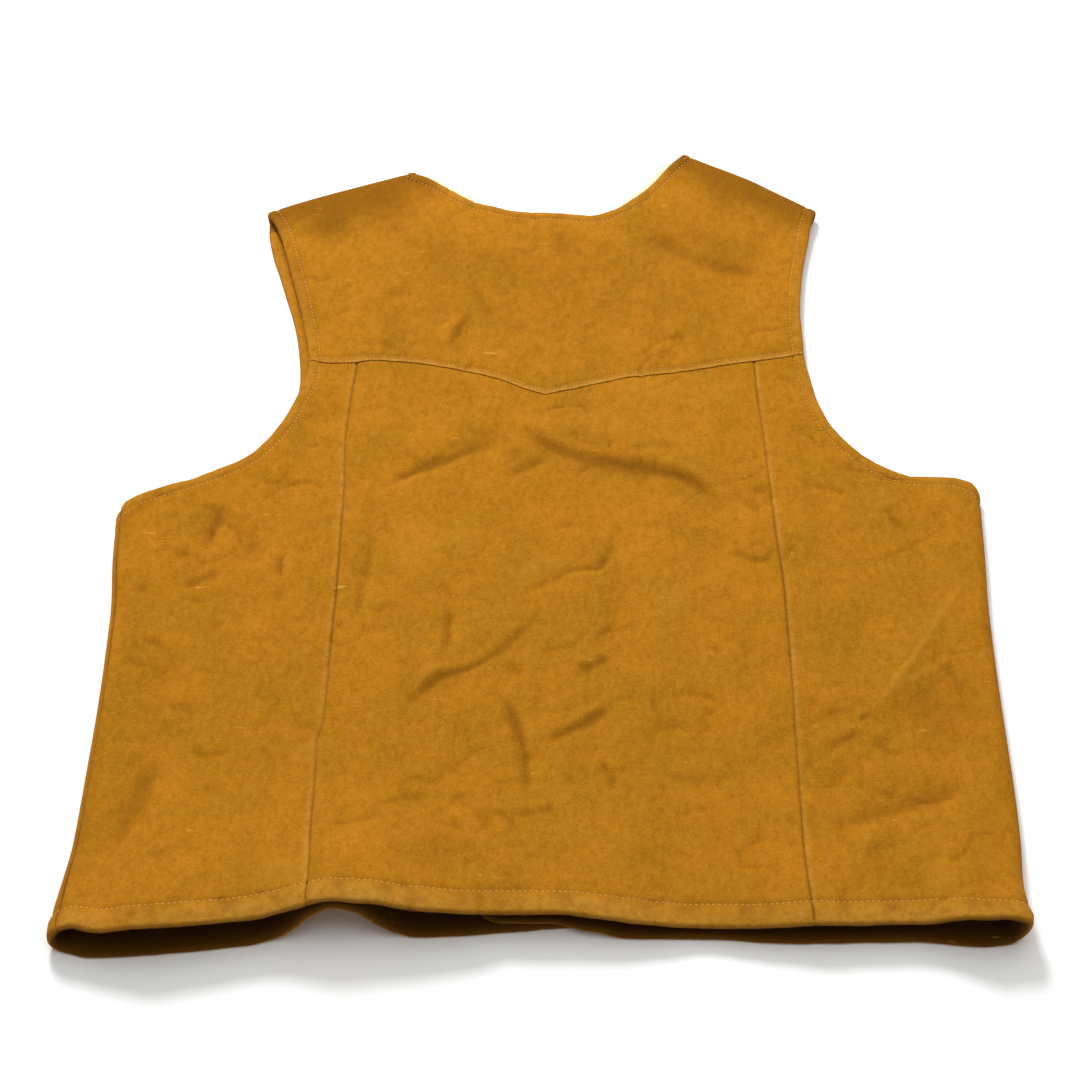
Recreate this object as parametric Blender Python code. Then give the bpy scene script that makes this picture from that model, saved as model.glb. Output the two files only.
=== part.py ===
"""A suede western vest, lying flat on its front with the back uppermost.

Every cut piece is a sheet of suede: a net of points through the middle of the leather, worked out from the
sizes below, which a Solidify modifier gives its thickness. Sizes are in millimetres until a net becomes a mesh.
x runs from the wearer's left to the wearer's right, y from the hem to the neck, z up from the surface.
"""

import math

import bmesh
import bpy
import numpy as np

MM = 0.001

# Leather
SUEDE = 1.8                     # thickness of the hide
HALF = SUEDE / 2
SEAM_GAP = 0.3                  # between two pieces at a seam
PLY = SUEDE + SEAM_GAP          # from the middle of one layer to the middle of the next
TURN_RADIUS = 1.1               # the middle of the leather round a turned edge
HEM_DEPTH = 13.0                # width of the turned-up hem
YOKE_LAP = 8.0                  # how far the panels run up under the yoke
TAPE = 1.0                      # thickness of the neck tape

# The lie of the vest
BACK_REST = 8.0                 # height of the back's middle where it rests on the fronts
SETTLE = 120.0                  # distance from the hem over which the open mouth closes
SIDE_BLEND = 45.0               # distance from a side over which the back comes down to rest
SHOULDER_BLEND = 35.0           # distance from a shoulder fold over which the yoke comes down to rest
SHOULDER_MARGIN = 30.0          # how far past the ends of a shoulder the yoke rises towards its fold
SHOULDER_EASE = 25.0            # distance over which that rise starts and ends
YOKE_SETTLE = 60.0              # distance up from the lap over which the yoke sinks half a ply
OVERLAP_CLEAR = 0.1             # spare height of the right front over the left one's turned hem

SHARP_ANGLE = 40.0              # edges that bend by more degrees than this are shaded sharp
ROUGHNESS = 0.92

# Nets
UNDERARM_HEIGHT = 336.0         # from the hem to the underarm
SIDE_ROWS = 18                  # rows from the hem to the underarm, above the turned-up hem
BACK_UPPER_ROWS = 8             # rows from the underarm to the yoke
FRONT_UPPER_ROWS = 12           # rows from the underarm to the shoulder
YOKE_ROWS = 11
YOKE_COLUMNS = {"left shoulder": 6, "left neck": 7, "right neck": 7, "right shoulder": 7}
CENTRE_COLUMNS = 20
SIDE_COLUMNS = 9
SIDE_UNDERARM = 0.715           # share of a side back's height that lies below the underarm
FRONT_UNDERARM = 0.555          # the same share of a front

# Columns of the fronts: where the close ones start and end, the front's width, the even step and the close step
LEFT_FRONT_COLUMNS = (92.0, 196.0, 301.0, 24.0, 11.5)
RIGHT_FRONT_COLUMNS = (4.0, 76.0, 311.0, 24.0, 9.0)

# Where the side seams lie on the rolled sides: 90 is the top of the roll, -90 the surface
LEFT_SEAM_ANGLE = 68.0
RIGHT_SEAM_ANGLE = -58.0
ROLL_STEP = 26.0                # degrees between two points round a roll
EDGE_STEP = 5.0                 # the last step before a seam, so that the two cut edges stand parallel

# Hem of the back: x, y, height of the leather's middle
BACK_HEM = (
    (-272, -302, 25.0),
    (-255, -306, 28.5),
    (-233, -306, 31.0),
    (-205, -303, 29.0),
    (-168, -298, 27.5),
    (-143, -294, 32.0),
    (-121, -292, 38.0),
    (-102, -292, 36.0),
    (-75, -294, 31.0),
    (-49, -294, 26.0),
    (-22, -292, 22.0),
    (10, -292, 21.0),
    (45, -295, 19.0),
    (70, -296, 15.5),
    (95, -296, 12.5),
    (130, -298, 16.5),
    (170, -298, 20.0),
    (215, -297, 19.0),
    (242, -298, 24.5),
    (260, -300, 31.5),
    (269, -299, 31.0),
)

# Hem of the fronts: x, y, height. The left front is buckled up off the surface beside its middle
LEFT_FRONT_HEM = (
    (-279, -307, 0.9),
    (-265, -310, 0.9),
    (-238, -309, 0.9),
    (-205, -306, 0.9),
    (-172, -302, 0.9),
    (-157, -299, 3.2),
    (-145, -297, 11.5),
    (-133, -295, 24.5),
    (-121, -294, 31.0),
    (-109, -294, 27.0),
    (-97, -295, 14.0),
    (-85, -296, 4.5),
    (-72, -297, 0.9),
    (-50, -296, 0.9),
    (22, -292, 0.9),
)
RIGHT_FRONT_HEM = (
    (-35, -281, 0.9),
    (-31, -287, 0.9),
    (-22, -290, 0.9),
    (5, -290, 0.9),
    (28, -295, 0.9),
    (60, -298, 0.9),
    (95, -298, 0.9),
    (150, -301, 0.9),
    (220, -300, 0.9),
    (262, -303, 0.9),
    (274, -302, 0.9),
)

# Rolled sides: y, outermost x, its height, top height, reach to the top, reach to the surface
LEFT_SIDE = (
    (-304, -288.0, 9.0, 25.0, 16.0, 9.0),
    (-288, -287.5, 8.0, 21.0, 13.0, 8.0),
    (-268, -285.5, 6.5, 16.0, 9.0, 6.5),
    (-240, -282.5, 5.8, 13.0, 7.0, 5.5),
    (-200, -281.5, 5.6, 12.0, 6.5, 5.0),
    (-134, -280.5, 5.6, 12.0, 6.5, 5.0),
    (-70, -281.5, 5.6, 12.0, 6.5, 5.0),
    (-20, -286.0, 5.6, 12.0, 6.5, 5.0),
    (35, -288.5, 5.6, 12.0, 6.5, 5.0),
)
RIGHT_SIDE = (
    (-302, 286.5, 22.0, 31.0, 17.0, 12.0),
    (-288, 287.0, 17.0, 25.0, 12.0, 10.0),
    (-268, 288.0, 9.0, 17.0, 9.0, 7.5),
    (-240, 291.0, 6.0, 13.0, 7.0, 5.5),
    (-200, 292.5, 5.6, 12.0, 6.5, 5.0),
    (-134, 293.0, 5.6, 12.0, 6.5, 5.0),
    (-70, 294.5, 5.6, 12.0, 6.5, 5.0),
    (-20, 298.0, 5.6, 12.0, 6.5, 5.0),
    (40, 301.5, 5.6, 12.0, 6.5, 5.0),
)
LEFT_UNDERARM = {90: 29.0, -90: 18.0, "outermost": 12.0}
RIGHT_UNDERARM = {90: 41.0, -90: 30.0, "outermost": 28.0}

# Armholes from the underarm up: x, y
LEFT_ARMHOLE = (
    (-282, 29), (-274, 34), (-256, 42.5), (-242, 48), (-223, 56.5), (-203, 68), (-194, 79), (-187, 90),
    (-181, 101), (-174, 122), (-168.5, 140), (-165.5, 157), (-164, 169), (-166, 186), (-173, 217), (-181, 249),
    (-190, 277), (-198, 298), (-203, 306),
)
RIGHT_ARMHOLE = (
    (295, 41), (284, 46), (270, 48), (256, 50), (242, 55.5), (226, 68), (216, 79), (209, 90), (203, 101),
    (197, 122), (193.5, 143), (191.5, 160), (191, 172), (191, 195), (192.5, 219), (196, 245), (201, 270),
    (206.5, 294), (211, 306),
)
LEFT_FRONT_ARMHOLE = (
    (-283, 18), (-272, 27), (-252, 39), (-228, 52), (-206, 67), (-191, 84), (-181, 102), (-175, 122),
    (-172.5, 138), (-173, 150), (-176, 176), (-181, 200), (-188, 225), (-196, 252), (-203, 275), (-207, 296),
)
RIGHT_FRONT_ARMHOLE = (
    (296, 30), (283, 36), (262, 42), (240, 52), (221, 67), (208, 83), (199, 100), (192, 124), (188, 152),
    (187, 180), (188, 208), (191, 236), (196, 262), (202, 284), (209, 303),
)

# Shoulder folds, outermost line: x, y
LEFT_SHOULDER = ((-206, 311), (-193, 318.5), (-164, 331), (-132, 343.5), (-98, 356.5))
RIGHT_SHOULDER = ((113, 377), (134, 364.5), (149, 356), (164, 347), (179, 336), (194, 325), (212, 312))
SHOULDER_REACH = 5.0            # from the outermost line to the top of the fold
SHOULDER_HEIGHT = 6.0           # height of the outermost line
SHOULDER_TOP = 11.5
SHOULDER_STRIP = 12.0           # width of the yoke on the front, past the fold
LEFT_LEAN = -0.33               # sideways run of the strip's end at the armhole, for each mm of its width
RIGHT_LEAN = 0.22

# Back neckline: x, y
NECK = (
    (-96, 351), (-84, 347), (-70, 338), (-54, 326.5), (-39, 319.5), (-23, 314), (-8, 311.5), (8, 311),
    (23, 309.5), (38, 308), (54, 313.5), (70, 325), (86, 342.5), (100, 361.5), (110, 371.5),
)

# Lower edge of the yoke: x, y
YOKE_EDGE_LEFT = (
    (-166, 158), (-150, 155), (-134, 155), (-122, 157.5), (-108, 157), (-82, 153.5), (-60, 148.5), (-29, 139),
    (-13, 131), (4, 124),
)
YOKE_EDGE_RIGHT = (
    (4, 124), (21, 129), (43, 136), (68, 142), (101, 146.5), (126, 151.5), (154, 156.5), (177, 161), (191, 163.5),
)
PANEL_TOP_Y = 168.0             # where the panels' top edge meets the armholes

# Long back seams from the hem up: y, x
LEFT_SEAM = (
    (-298, -136), (-262, -137), (-233, -138.5), (-194, -139.5), (-169, -140.5), (-150, -137), (-83, -136),
    (-43, -135), (33, -135), (82, -136.5), (115, -135), (170, -131),
)
RIGHT_SEAM = (
    (-298, 160.5), (-252, 159), (-176, 161), (-100, 162), (-43, 162), (-2, 160), (46, 158.5), (88, 157),
    (132, 155), (170, 154.5),
)

# Centre front edges, from the hem up to where they turn off to the neck points
LEFT_FRONT_EDGE = 22.0
RIGHT_FRONT_EDGE = -35.0
LEFT_BREAK = 95.0
RIGHT_BREAK = 84.0
OVERLAP_RAMP = (32.0, 50.0)     # x over which the right front comes down off the left one
OVERLAP_HEM_RAMP = (16.0, 34.0) # distance from the left front's hem over which it comes down off the turned hem

# Main folds of the back: x and y of start, middle and end, depth (a ridge is above 0), width
FOLDS = (
    (-88, 44, -52, 70, -20, 94, -2.4, 15),
    (-14, 91, 62, 60, 142, 20, -3.0, 17),
    (-30, 104, 40, 84, 120, 56, 2.0, 15),
    (-96, -149, -49, -111, 13, -66, -2.2, 15),
    (-104, -128, -60, -92, -8, -52, 1.4, 14),
    (-18, -133, -14, -166, -8, -200, -1.8, 11),
    (3, -168, 24, -150, 44, -132, -1.6, 11),
    (-60, -50, -62, -68, -60, -88, -1.2, 9),
    (92, 8, 112, -8, 128, -34, -1.6, 14),
    (-240, -176, -250, -216, -262, -250, -3.0, 18),
    (-226, 26, -226, 6, -224, -18, -1.6, 10),
    (-198, 10, -196, -8, -192, -26, -1.5, 10),
    (-246, -48, -222, -34, -200, -26, -1.8, 12),
    (276, -50, 240, -104, 198, -156, 2.6, 17),
    (280, -90, 256, -128, 222, -168, -2.8, 20),
    (272, -199, 226, -214, 180, -230, -2.4, 16),
    (238, 26, 244, 12, 252, -4, -1.8, 13),
    (72, 280, 130, 262, 186, 242, -2.4, 20),
    (-170, 302, -158, 290, -144, 278, -2.2, 14),
    (-84, 186, -70, 198, -56, 212, -1.8, 12),
    (10, 288, 20, 276, 30, 264, -1.8, 12),
    (74, 186, 92, 178, 110, 172, -1.5, 11),
)
FOLD_SAMPLES = 9

# Neck tape: how far it shows, how far it runs in, and its length in x along the neckline
TAPE_SHOWS = 2.6
TAPE_TUCK = 6.0
TAPE_POINTS = 41                # points along the whole neckline
LEFT_TAPE = (-92.0, -52.0)
RIGHT_TAPE = (66.0, 106.0)

# The middle of the finished garment's footprint, which becomes the origin
CENTRE = (6.5, 33.0)

SUEDE_LOOKS = {
    "back_yoke": (0.48, 0.20, 0.016),
    "back_centre": (0.45, 0.18, 0.010),
    "back_side_left": (0.45, 0.19, 0.012),
    "back_side_right": (0.44, 0.175, 0.010),
    "front_left": (0.42, 0.17, 0.012),
    "front_right": (0.42, 0.17, 0.012),
}
CREAM = (0.83, 0.66, 0.33)


def smoothstep(t):
    """Ease from 0 at t = 0 to 1 at t = 1."""
    t = np.clip(t, 0.0, 1.0)
    return t * t * (3.0 - 2.0 * t)


def curve(table, key, column, at):
    """Read a table smoothly: the value of one column where the key column has the given value."""
    rows = sorted(table, key=lambda row: row[key])
    keys = np.array([row[key] for row in rows], float)
    values = np.array([row[column] for row in rows], float)
    steps = np.diff(keys)
    slopes = np.diff(values) / steps
    product = slopes[:-1] * slopes[1:]
    total = np.where(product > 0.0, slopes[:-1] + slopes[1:], 1.0)
    tangents = np.zeros(len(keys))
    tangents[1:-1] = np.where(product > 0.0, 2.0 * product / total, 0.0)
    tangents[0], tangents[-1] = slopes[0], slopes[-1]
    at = np.clip(np.asarray(at, float), keys[0], keys[-1])
    i = np.clip(np.searchsorted(keys, at, side="right") - 1, 0, len(steps) - 1)
    h = steps[i]
    t = (at - keys[i]) / h
    return (values[i] * (1 + 2 * t) * (1 - t) ** 2 + values[i + 1] * t * t * (3 - 2 * t)
            + h * tangents[i] * t * (1 - t) ** 2 - h * tangents[i + 1] * t * t * (1 - t))


def along(points, shares):
    """Points of a polyline, smoothed, at shares of its length."""
    points = np.array(points, float)
    lengths = np.concatenate([[0.0], np.cumsum(np.linalg.norm(np.diff(points, axis=0), axis=1))])
    table = [(s, p[0], p[1]) for s, p in zip(lengths / lengths[-1], points)]
    return np.stack([curve(table, 0, 1, shares), curve(table, 0, 2, shares)], axis=-1)


def coons(bottom, top, left, right, u, v):
    """Fill the outline of a piece with a net of rows by columns, from its four edges."""
    u, v = np.asarray(u)[None, :, None], np.asarray(v)[:, None, None]
    corners = ((1 - u) * (1 - v) * bottom[0] + u * (1 - v) * bottom[-1]
               + (1 - u) * v * top[0] + u * v * top[-1])
    return (1 - v) * bottom[None] + v * top[None] + (1 - u) * left[:, None] + u * right[:, None] - corners


def side_shares():
    """Shares of the height from the hem to the underarm at which every panel has a row."""
    hem = np.array([0.0, HEM_DEPTH / 2, HEM_DEPTH]) / UNDERARM_HEIGHT
    return np.concatenate([hem, np.linspace(hem[-1], 1.0, SIDE_ROWS + 1)[1:]])


def fold_relief(x, y):
    """Height that the main folds add at a place on the back."""
    relief = np.zeros(np.shape(x))
    t = np.linspace(0.0, 1.0, FOLD_SAMPLES)
    for x0, y0, x1, y1, x2, y2, depth, width in FOLDS:
        bend_x, bend_y = 2 * x1 - (x0 + x2) / 2, 2 * y1 - (y0 + y2) / 2
        line_x = (1 - t) ** 2 * x0 + 2 * t * (1 - t) * bend_x + t * t * x2
        line_y = (1 - t) ** 2 * y0 + 2 * t * (1 - t) * bend_y + t * t * y2
        fade = np.sin(np.pi * (0.12 + 0.76 * t))
        away = (np.asarray(x)[..., None] - line_x) ** 2 + (np.asarray(y)[..., None] - line_y) ** 2
        relief = relief + depth * np.max(np.exp(-away / width ** 2) * fade, axis=-1)
    return relief


def side_value(side, column, y):
    """Read one column of a rolled side's table."""
    return curve(side, 0, column, y)


def end_height(hem_table, outward):
    """The y of a hem at its outer end. outward is -1 on the left side and 1 on the right."""
    return float(curve(hem_table, 0, 1, outward * math.inf))


def back_height(x, y):
    """Height of the middle of the back's leather."""
    from_hem = y - curve(BACK_HEM, 0, 1, x)
    mouth = 1.0 - smoothstep(from_hem / SETTLE)
    z = BACK_REST + (curve(BACK_HEM, 0, 2, x) - BACK_REST) * mouth + fold_relief(x, y) * (1.0 - mouth)
    left_top = side_value(LEFT_SIDE, 1, y) + side_value(LEFT_SIDE, 4, y)
    right_top = side_value(RIGHT_SIDE, 1, y) - side_value(RIGHT_SIDE, 4, y)
    left_share = 1.0 - smoothstep((x - left_top) / SIDE_BLEND)
    right_share = 1.0 - smoothstep((right_top - x) / SIDE_BLEND)
    z = z + (side_value(LEFT_SIDE, 3, y) - z) * left_share
    return z + (side_value(RIGHT_SIDE, 3, y) - z) * right_share


def yoke_edge(x):
    """Height up the back of the yoke's lower edge."""
    return np.where(np.asarray(x) < YOKE_EDGE_LEFT[-1][0],
                    curve(YOKE_EDGE_LEFT, 0, 1, x), curve(YOKE_EDGE_RIGHT, 0, 1, x))


def yoke_height(x, y):
    """Height of the middle of the yoke: one ply above the panels, then down to rest, then up to the shoulders."""
    lap = PLY * (1.0 - 0.5 * smoothstep((y - yoke_edge(x) - 2 * YOKE_LAP) / YOKE_SETTLE))
    z = back_height(x, y) + lap
    for shoulder in (LEFT_SHOULDER, RIGHT_SHOULDER):
        low, high = shoulder[0][0] - SHOULDER_MARGIN, shoulder[-1][0] + SHOULDER_MARGIN
        inside = smoothstep((x - low) / SHOULDER_EASE) * smoothstep((high - x) / SHOULDER_EASE)
        near = 1.0 - smoothstep((curve(shoulder, 0, 1, x) - SHOULDER_REACH - y) / SHOULDER_BLEND)
        z = z + (SHOULDER_TOP - z) * near * inside
    return z


def left_front_height(x, y):
    """Height of the middle of the left front: on the surface, but for the buckle at its hem."""
    from_hem = y - curve(LEFT_FRONT_HEM, 0, 1, x)
    return HALF + (curve(LEFT_FRONT_HEM, 0, 2, x) - HALF) * (1.0 - smoothstep(from_hem / SETTLE))


def right_front_height(x, y):
    """Height of the middle of the right front, which laps over the left one."""
    start, end = OVERLAP_RAMP
    over = 1.0 - smoothstep((x - start) / (end - start))
    start, end = OVERLAP_HEM_RAMP
    from_hem = y - curve(LEFT_FRONT_HEM, 0, 1, x)
    over_hem = 1.0 - smoothstep((from_hem - start) / (end - start))
    return HALF + over * (PLY + (2 * TURN_RADIUS + OVERLAP_CLEAR) * over_hem)


def lay(plan, height):
    """Give a plan net its heights."""
    return np.concatenate([plan, height(plan[..., 0], plan[..., 1])[..., None]], axis=-1)


def roll_net(side, outward, angles, hem_ends, underarm, shares):
    """Net of a rolled side: a column for each angle round the roll and a row for each share of its height.

    outward is -1 on the left side and 1 on the right. hem_ends are the hem's y at the top and at the surface.
    """
    angles = np.asarray(angles, float)
    turned = (90.0 - angles) / 180.0
    hem_y = hem_ends[0] + (hem_ends[1] - hem_ends[0]) * turned
    dip = underarm["outermost"] - (underarm[90] + underarm[-90]) / 2
    top_y = underarm[90] + (underarm[-90] - underarm[90]) * turned + dip * np.sin(np.pi * turned)
    y = hem_y[None] + (top_y - hem_y)[None] * shares[:, None]
    across, up = np.cos(np.radians(angles))[None], np.sin(np.radians(angles))[None]
    middle = side_value(side, 2, y)
    reach = np.where(up >= 0, side_value(side, 4, y), side_value(side, 5, y))
    rise = np.where(up >= 0, side_value(side, 3, y) - middle, middle - HALF)
    x = side_value(side, 1, y) - outward * reach * (1.0 - across)
    return np.stack([x, y, middle + rise * up], axis=-1)


def net_normals(net):
    """Unit normals of a net, facing the side from which its rows run up and its columns to the right."""
    across = np.gradient(net, axis=1)
    up = np.gradient(net, axis=0)
    normal = np.cross(across, up)
    return normal / np.linalg.norm(normal, axis=-1, keepdims=True)


def turned_hem(net, inside):
    """Net of a hem turned up to the inside, from the net's lowest three rows. inside is -1 or 1 along its normals."""
    rows = net[:3]
    normal = net_normals(net[:4])[:3] * inside
    up = net[1] - net[0]
    up = up / np.linalg.norm(up, axis=-1, keepdims=True)
    fold = [net[0] + TURN_RADIUS * (normal[0] * (1 - math.cos(a)) - up * math.sin(a))
            for a in np.radians((0, 45, 90, 135))]
    return np.stack(fold + [row + 2 * TURN_RADIUS * n for row, n in zip(rows, normal)])


def steps_between(start, end, step):
    """Evenly spaced values from start to end, no further apart than step."""
    return np.linspace(start, end, int(math.ceil(abs(end - start) / step)) + 1)


def sheet(name, nets, colour, slot="suede", thickness=SUEDE):
    """Make one piece: join its nets along the points they share and give the leather its thickness."""
    bm = bmesh.new()
    for net in nets:
        rows, columns = net.shape[:2]
        made = bmesh.ops.create_grid(bm, x_segments=columns - 1, y_segments=rows - 1, size=1.0)
        for vert in made["verts"]:
            column = round((vert.co.x + 1) / 2 * (columns - 1))
            row = round((vert.co.y + 1) / 2 * (rows - 1))
            x, y, z = net[row, column]
            vert.co = ((x - CENTRE[0]) * MM, (y - CENTRE[1]) * MM, z * MM)
    bmesh.ops.remove_doubles(bm, verts=bm.verts, dist=0.00001)
    bmesh.ops.recalc_face_normals(bm, faces=bm.faces)
    mesh = bpy.data.meshes.new(name)
    bm.to_mesh(mesh)
    bm.free()
    mesh.shade_smooth()
    mesh.set_sharp_from_angle(angle=math.radians(SHARP_ANGLE))
    piece = bpy.data.objects.new(name, mesh)
    bpy.context.scene.collection.objects.link(piece)
    mesh.materials.append(plain_material(f"{name}_{slot}", colour))
    wall = piece.modifiers.new("thickness", "SOLIDIFY")
    wall.thickness = thickness * MM
    wall.offset = 0.0
    return piece


def plain_material(name, colour):
    """A plain Principled material in the piece's colour."""
    material = bpy.data.materials.new(name)
    material.use_nodes = True
    shader = material.node_tree.nodes["Principled BSDF"]
    shader.inputs["Base Color"].default_value = (*colour, 1.0)
    shader.inputs["Roughness"].default_value = ROUGHNESS
    shader.inputs["Metallic"].default_value = 0.0
    return material


def back_centre():
    """The middle back panel, between the long seams."""
    v = back_shares()
    u = np.linspace(0.0, 1.0, CENTRE_COLUMNS + 1)
    left = seam_line(LEFT_SEAM, v, SEAM_GAP / 2)
    right = seam_line(RIGHT_SEAM, v, -SEAM_GAP / 2)
    hem_x = np.linspace(left[0, 0], right[0, 0], len(u))
    top_x = np.linspace(left[-1, 0], right[-1, 0], len(u))
    tip = np.argmin(np.abs(top_x - YOKE_EDGE_LEFT[-1][0]))
    top_x[tip] = YOKE_EDGE_LEFT[-1][0]
    hem = np.stack([hem_x, curve(BACK_HEM, 0, 1, hem_x)], axis=-1)
    top = np.stack([top_x, yoke_edge(top_x) + YOKE_LAP], axis=-1)
    net = lay(coons(hem, top, left, right, u, v), back_height)
    return sheet("back_centre", [net, turned_hem(net, -1)], SUEDE_LOOKS["back_centre"])


def back_shares():
    """Row shares of the back panels, hem to yoke."""
    upper = np.linspace(SIDE_UNDERARM, 1.0, BACK_UPPER_ROWS + 1)[1:]
    return np.concatenate([side_shares() * SIDE_UNDERARM, upper])


def seam_line(seam, v, offset):
    """Plan points of a long seam, moved sideways by the offset, from the hem to the top of the panels."""
    guess = curve(seam, 0, 1, (seam[0][0], seam[-1][0]))
    hem_y = curve(BACK_HEM, 0, 1, guess[0])
    top_y = yoke_edge(guess[1]) + YOKE_LAP
    y = hem_y + (top_y - hem_y) * v
    return np.stack([curve(seam, 0, 1, y) + offset, y], axis=-1)


def outer_edge(side, reach, outward, hem_y, underarm_y, armhole, end_y, shares, upper):
    """Plan points up the flat end of a rolled side and on along the armhole."""
    y = hem_y + (underarm_y - hem_y) * shares
    below = np.stack([side_value(side, 1, y) - outward * side_value(side, reach, y), y], axis=-1)
    y = underarm_y + (end_y - underarm_y) * np.asarray(upper)
    above = np.stack([curve(armhole, 1, 0, y), y], axis=-1)
    return np.concatenate([below, above])


def side_back(name, side, outward, seam, underarm, armhole, seam_angle):
    """A side back: flat from the long seam to the roll of the side, then round it to the side seam."""
    v = back_shares()
    shares = side_shares()
    upper = np.linspace(0.0, 1.0, BACK_UPPER_ROWS + 1)[1:]
    inner = seam_line(seam, v, outward * SEAM_GAP / 2)
    hem_y = end_height(BACK_HEM, outward)
    corner_x = float(curve(armhole, 1, 0, PANEL_TOP_Y))
    top_y = yoke_edge(corner_x) + YOKE_LAP
    outer = outer_edge(side, 4, outward, hem_y, underarm[90], armhole, top_y, shares, upper)
    u = np.linspace(0.0, 1.0, SIDE_COLUMNS + 1)
    hem_x = np.linspace(inner[0, 0], outer[0, 0], len(u))
    hem = np.stack([hem_x, curve(BACK_HEM, 0, 1, hem_x)], axis=-1)
    hem[0], hem[-1] = inner[0], outer[0]
    top_x = np.linspace(inner[-1, 0], outer[-1, 0], len(u))
    top = np.stack([top_x, yoke_edge(top_x) + YOKE_LAP], axis=-1)
    top[0], top[-1] = inner[-1], outer[-1]
    flat = lay(coons(hem, top, inner, outer, u, v), back_height)
    front_y = end_height(LEFT_FRONT_HEM if outward < 0 else RIGHT_FRONT_HEM, outward)
    angles = roll_angles(90.0, seam_angle, side)
    roll = roll_net(side, outward, angles, (hem_y, front_y), underarm, shares)
    roll[:, 0] = flat[:len(shares), -1]
    low = np.concatenate([flat[:len(shares)], roll[:, 1:]], axis=1)
    hem_net = turned_hem(low, -outward)
    return sheet(name, [flat, roll, hem_net], SUEDE_LOOKS[name])


def roll_angles(start, seam_angle, side):
    """Angles of a net's columns round a side, from its flat end to half a gap short of the side seam."""
    way = math.copysign(1.0, seam_angle - start)
    half_gap = math.degrees(SEAM_GAP / 2 / side[-1][5])
    edge = seam_angle - way * half_gap
    return np.append(steps_between(start, edge - way * EDGE_STEP, ROLL_STEP), edge)


def front_panel(name, side, outward, hem_table, underarm, armhole, seam_angle, edge, break_y, neck_point,
                shoulder, columns, height):
    """A front: on the surface, round the side to the side seam, and open down the middle."""
    shares = side_shares()
    v = np.concatenate([shares * FRONT_UNDERARM, np.linspace(FRONT_UNDERARM, 1.0, FRONT_UPPER_ROWS + 1)[1:]])
    upper = np.linspace(0.0, 1.0, FRONT_UPPER_ROWS + 1)[1:]
    hem_y = end_height(hem_table, outward)
    tip =shoulder_seam(shoulder, 0.0 if outward < 0 else 1.0)
    outer = outer_edge(side, 5, outward, hem_y, underarm[-90], armhole, tip[1], shares, upper)
    outer[-1] = tip
    edge_hem = float(curve(hem_table, 0, 1, edge))
    y = edge_hem + (neck_point[1] - edge_hem) * v
    lean = (y - break_y) / (neck_point[1] - break_y)
    inner = np.stack([edge + (neck_point[0] - edge) * np.clip(lean, 0.0, 1.0), y], axis=-1)
    hem_x = np.interp(columns, (0.0, 1.0), (inner[0, 0], outer[0, 0]))
    hem = np.stack([hem_x, curve(hem_table, 0, 1, hem_x)], axis=-1)
    hem[0], hem[-1] = inner[0], outer[0]
    seam_shares = (1.0 - columns) if outward < 0 else columns
    top = np.array([shoulder_seam(shoulder, share) for share in seam_shares])
    top[0], top[-1] = inner[-1], outer[-1]
    flat = lay(coons(hem, top, inner, outer, columns, v), height)
    back_y = end_height(BACK_HEM, outward)
    angles = roll_angles(-90.0, seam_angle, side)
    roll = roll_net(side, outward, angles, (back_y, hem_y), underarm, shares)
    roll[:, 0] = flat[:len(shares), -1]
    low = np.concatenate([flat[:len(shares)], roll[:, 1:]], axis=1)
    hem_net = turned_hem(low, outward)
    return sheet(name, [flat, roll, hem_net], SUEDE_LOOKS[name])


def shoulder_normal(shoulder):
    """Plan direction straight out over a shoulder fold."""
    run = np.array(shoulder[-1], float) - np.array(shoulder[0], float)
    return np.array([-run[1], run[0]]) / np.linalg.norm(run)


def shoulder_line(shoulder):
    """Plan points along the top of a shoulder fold, one for each of the yoke's columns there."""
    columns = YOKE_COLUMNS["left shoulder" if shoulder is LEFT_SHOULDER else "right shoulder"]
    return along(shoulder, np.linspace(0, 1, columns + 1)) - shoulder_normal(shoulder) * SHOULDER_REACH


def strip_shift(shoulder, share, run):
    """Plan shift from the top of a shoulder fold to a line of the strip on the front, the given width away."""
    lean = LEFT_LEAN * (1.0 - share) if shoulder is LEFT_SHOULDER else RIGHT_LEAN * share
    inward = -shoulder_normal(shoulder)
    return np.stack([(inward[0] + lean) * run, np.full(np.shape(lean), inward[1] * run)], axis=-1)


def shoulder_seam(shoulder, share):
    """A point of the front shoulder seam, on the front's side of it."""
    line = shoulder_line(shoulder)
    shares = np.linspace(0.0, 1.0, len(line))
    top = np.array([np.interp(share, shares, line[:, 0]), np.interp(share, shares, line[:, 1])])
    return top + strip_shift(shoulder, share, SHOULDER_STRIP + SEAM_GAP)


def shoulder_roll(shoulder, top_row):
    """Net of the yoke over one shoulder: round the fold and on to the front shoulder seam."""
    out = shoulder_normal(shoulder)
    rows = [top_row]
    start = top_row[:, :2]
    for angle in steps_between(90.0, -90.0, 30.0)[1:]:
        across, up = math.cos(math.radians(angle)), math.sin(math.radians(angle))
        rise = SHOULDER_TOP - SHOULDER_HEIGHT if up >= 0 else SHOULDER_HEIGHT - HALF
        plan = start + out * SHOULDER_REACH * across
        rows.append(np.concatenate([plan, np.full((len(plan), 1), SHOULDER_HEIGHT + rise * up)], axis=1))
    shares = np.linspace(0.0, 1.0, len(start))
    for run in (SHOULDER_STRIP / 2, SHOULDER_STRIP):
        plan = start + strip_shift(shoulder, shares, run)
        rows.append(np.concatenate([plan, np.full((len(plan), 1), HALF)], axis=1))
    return np.stack(rows)


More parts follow.
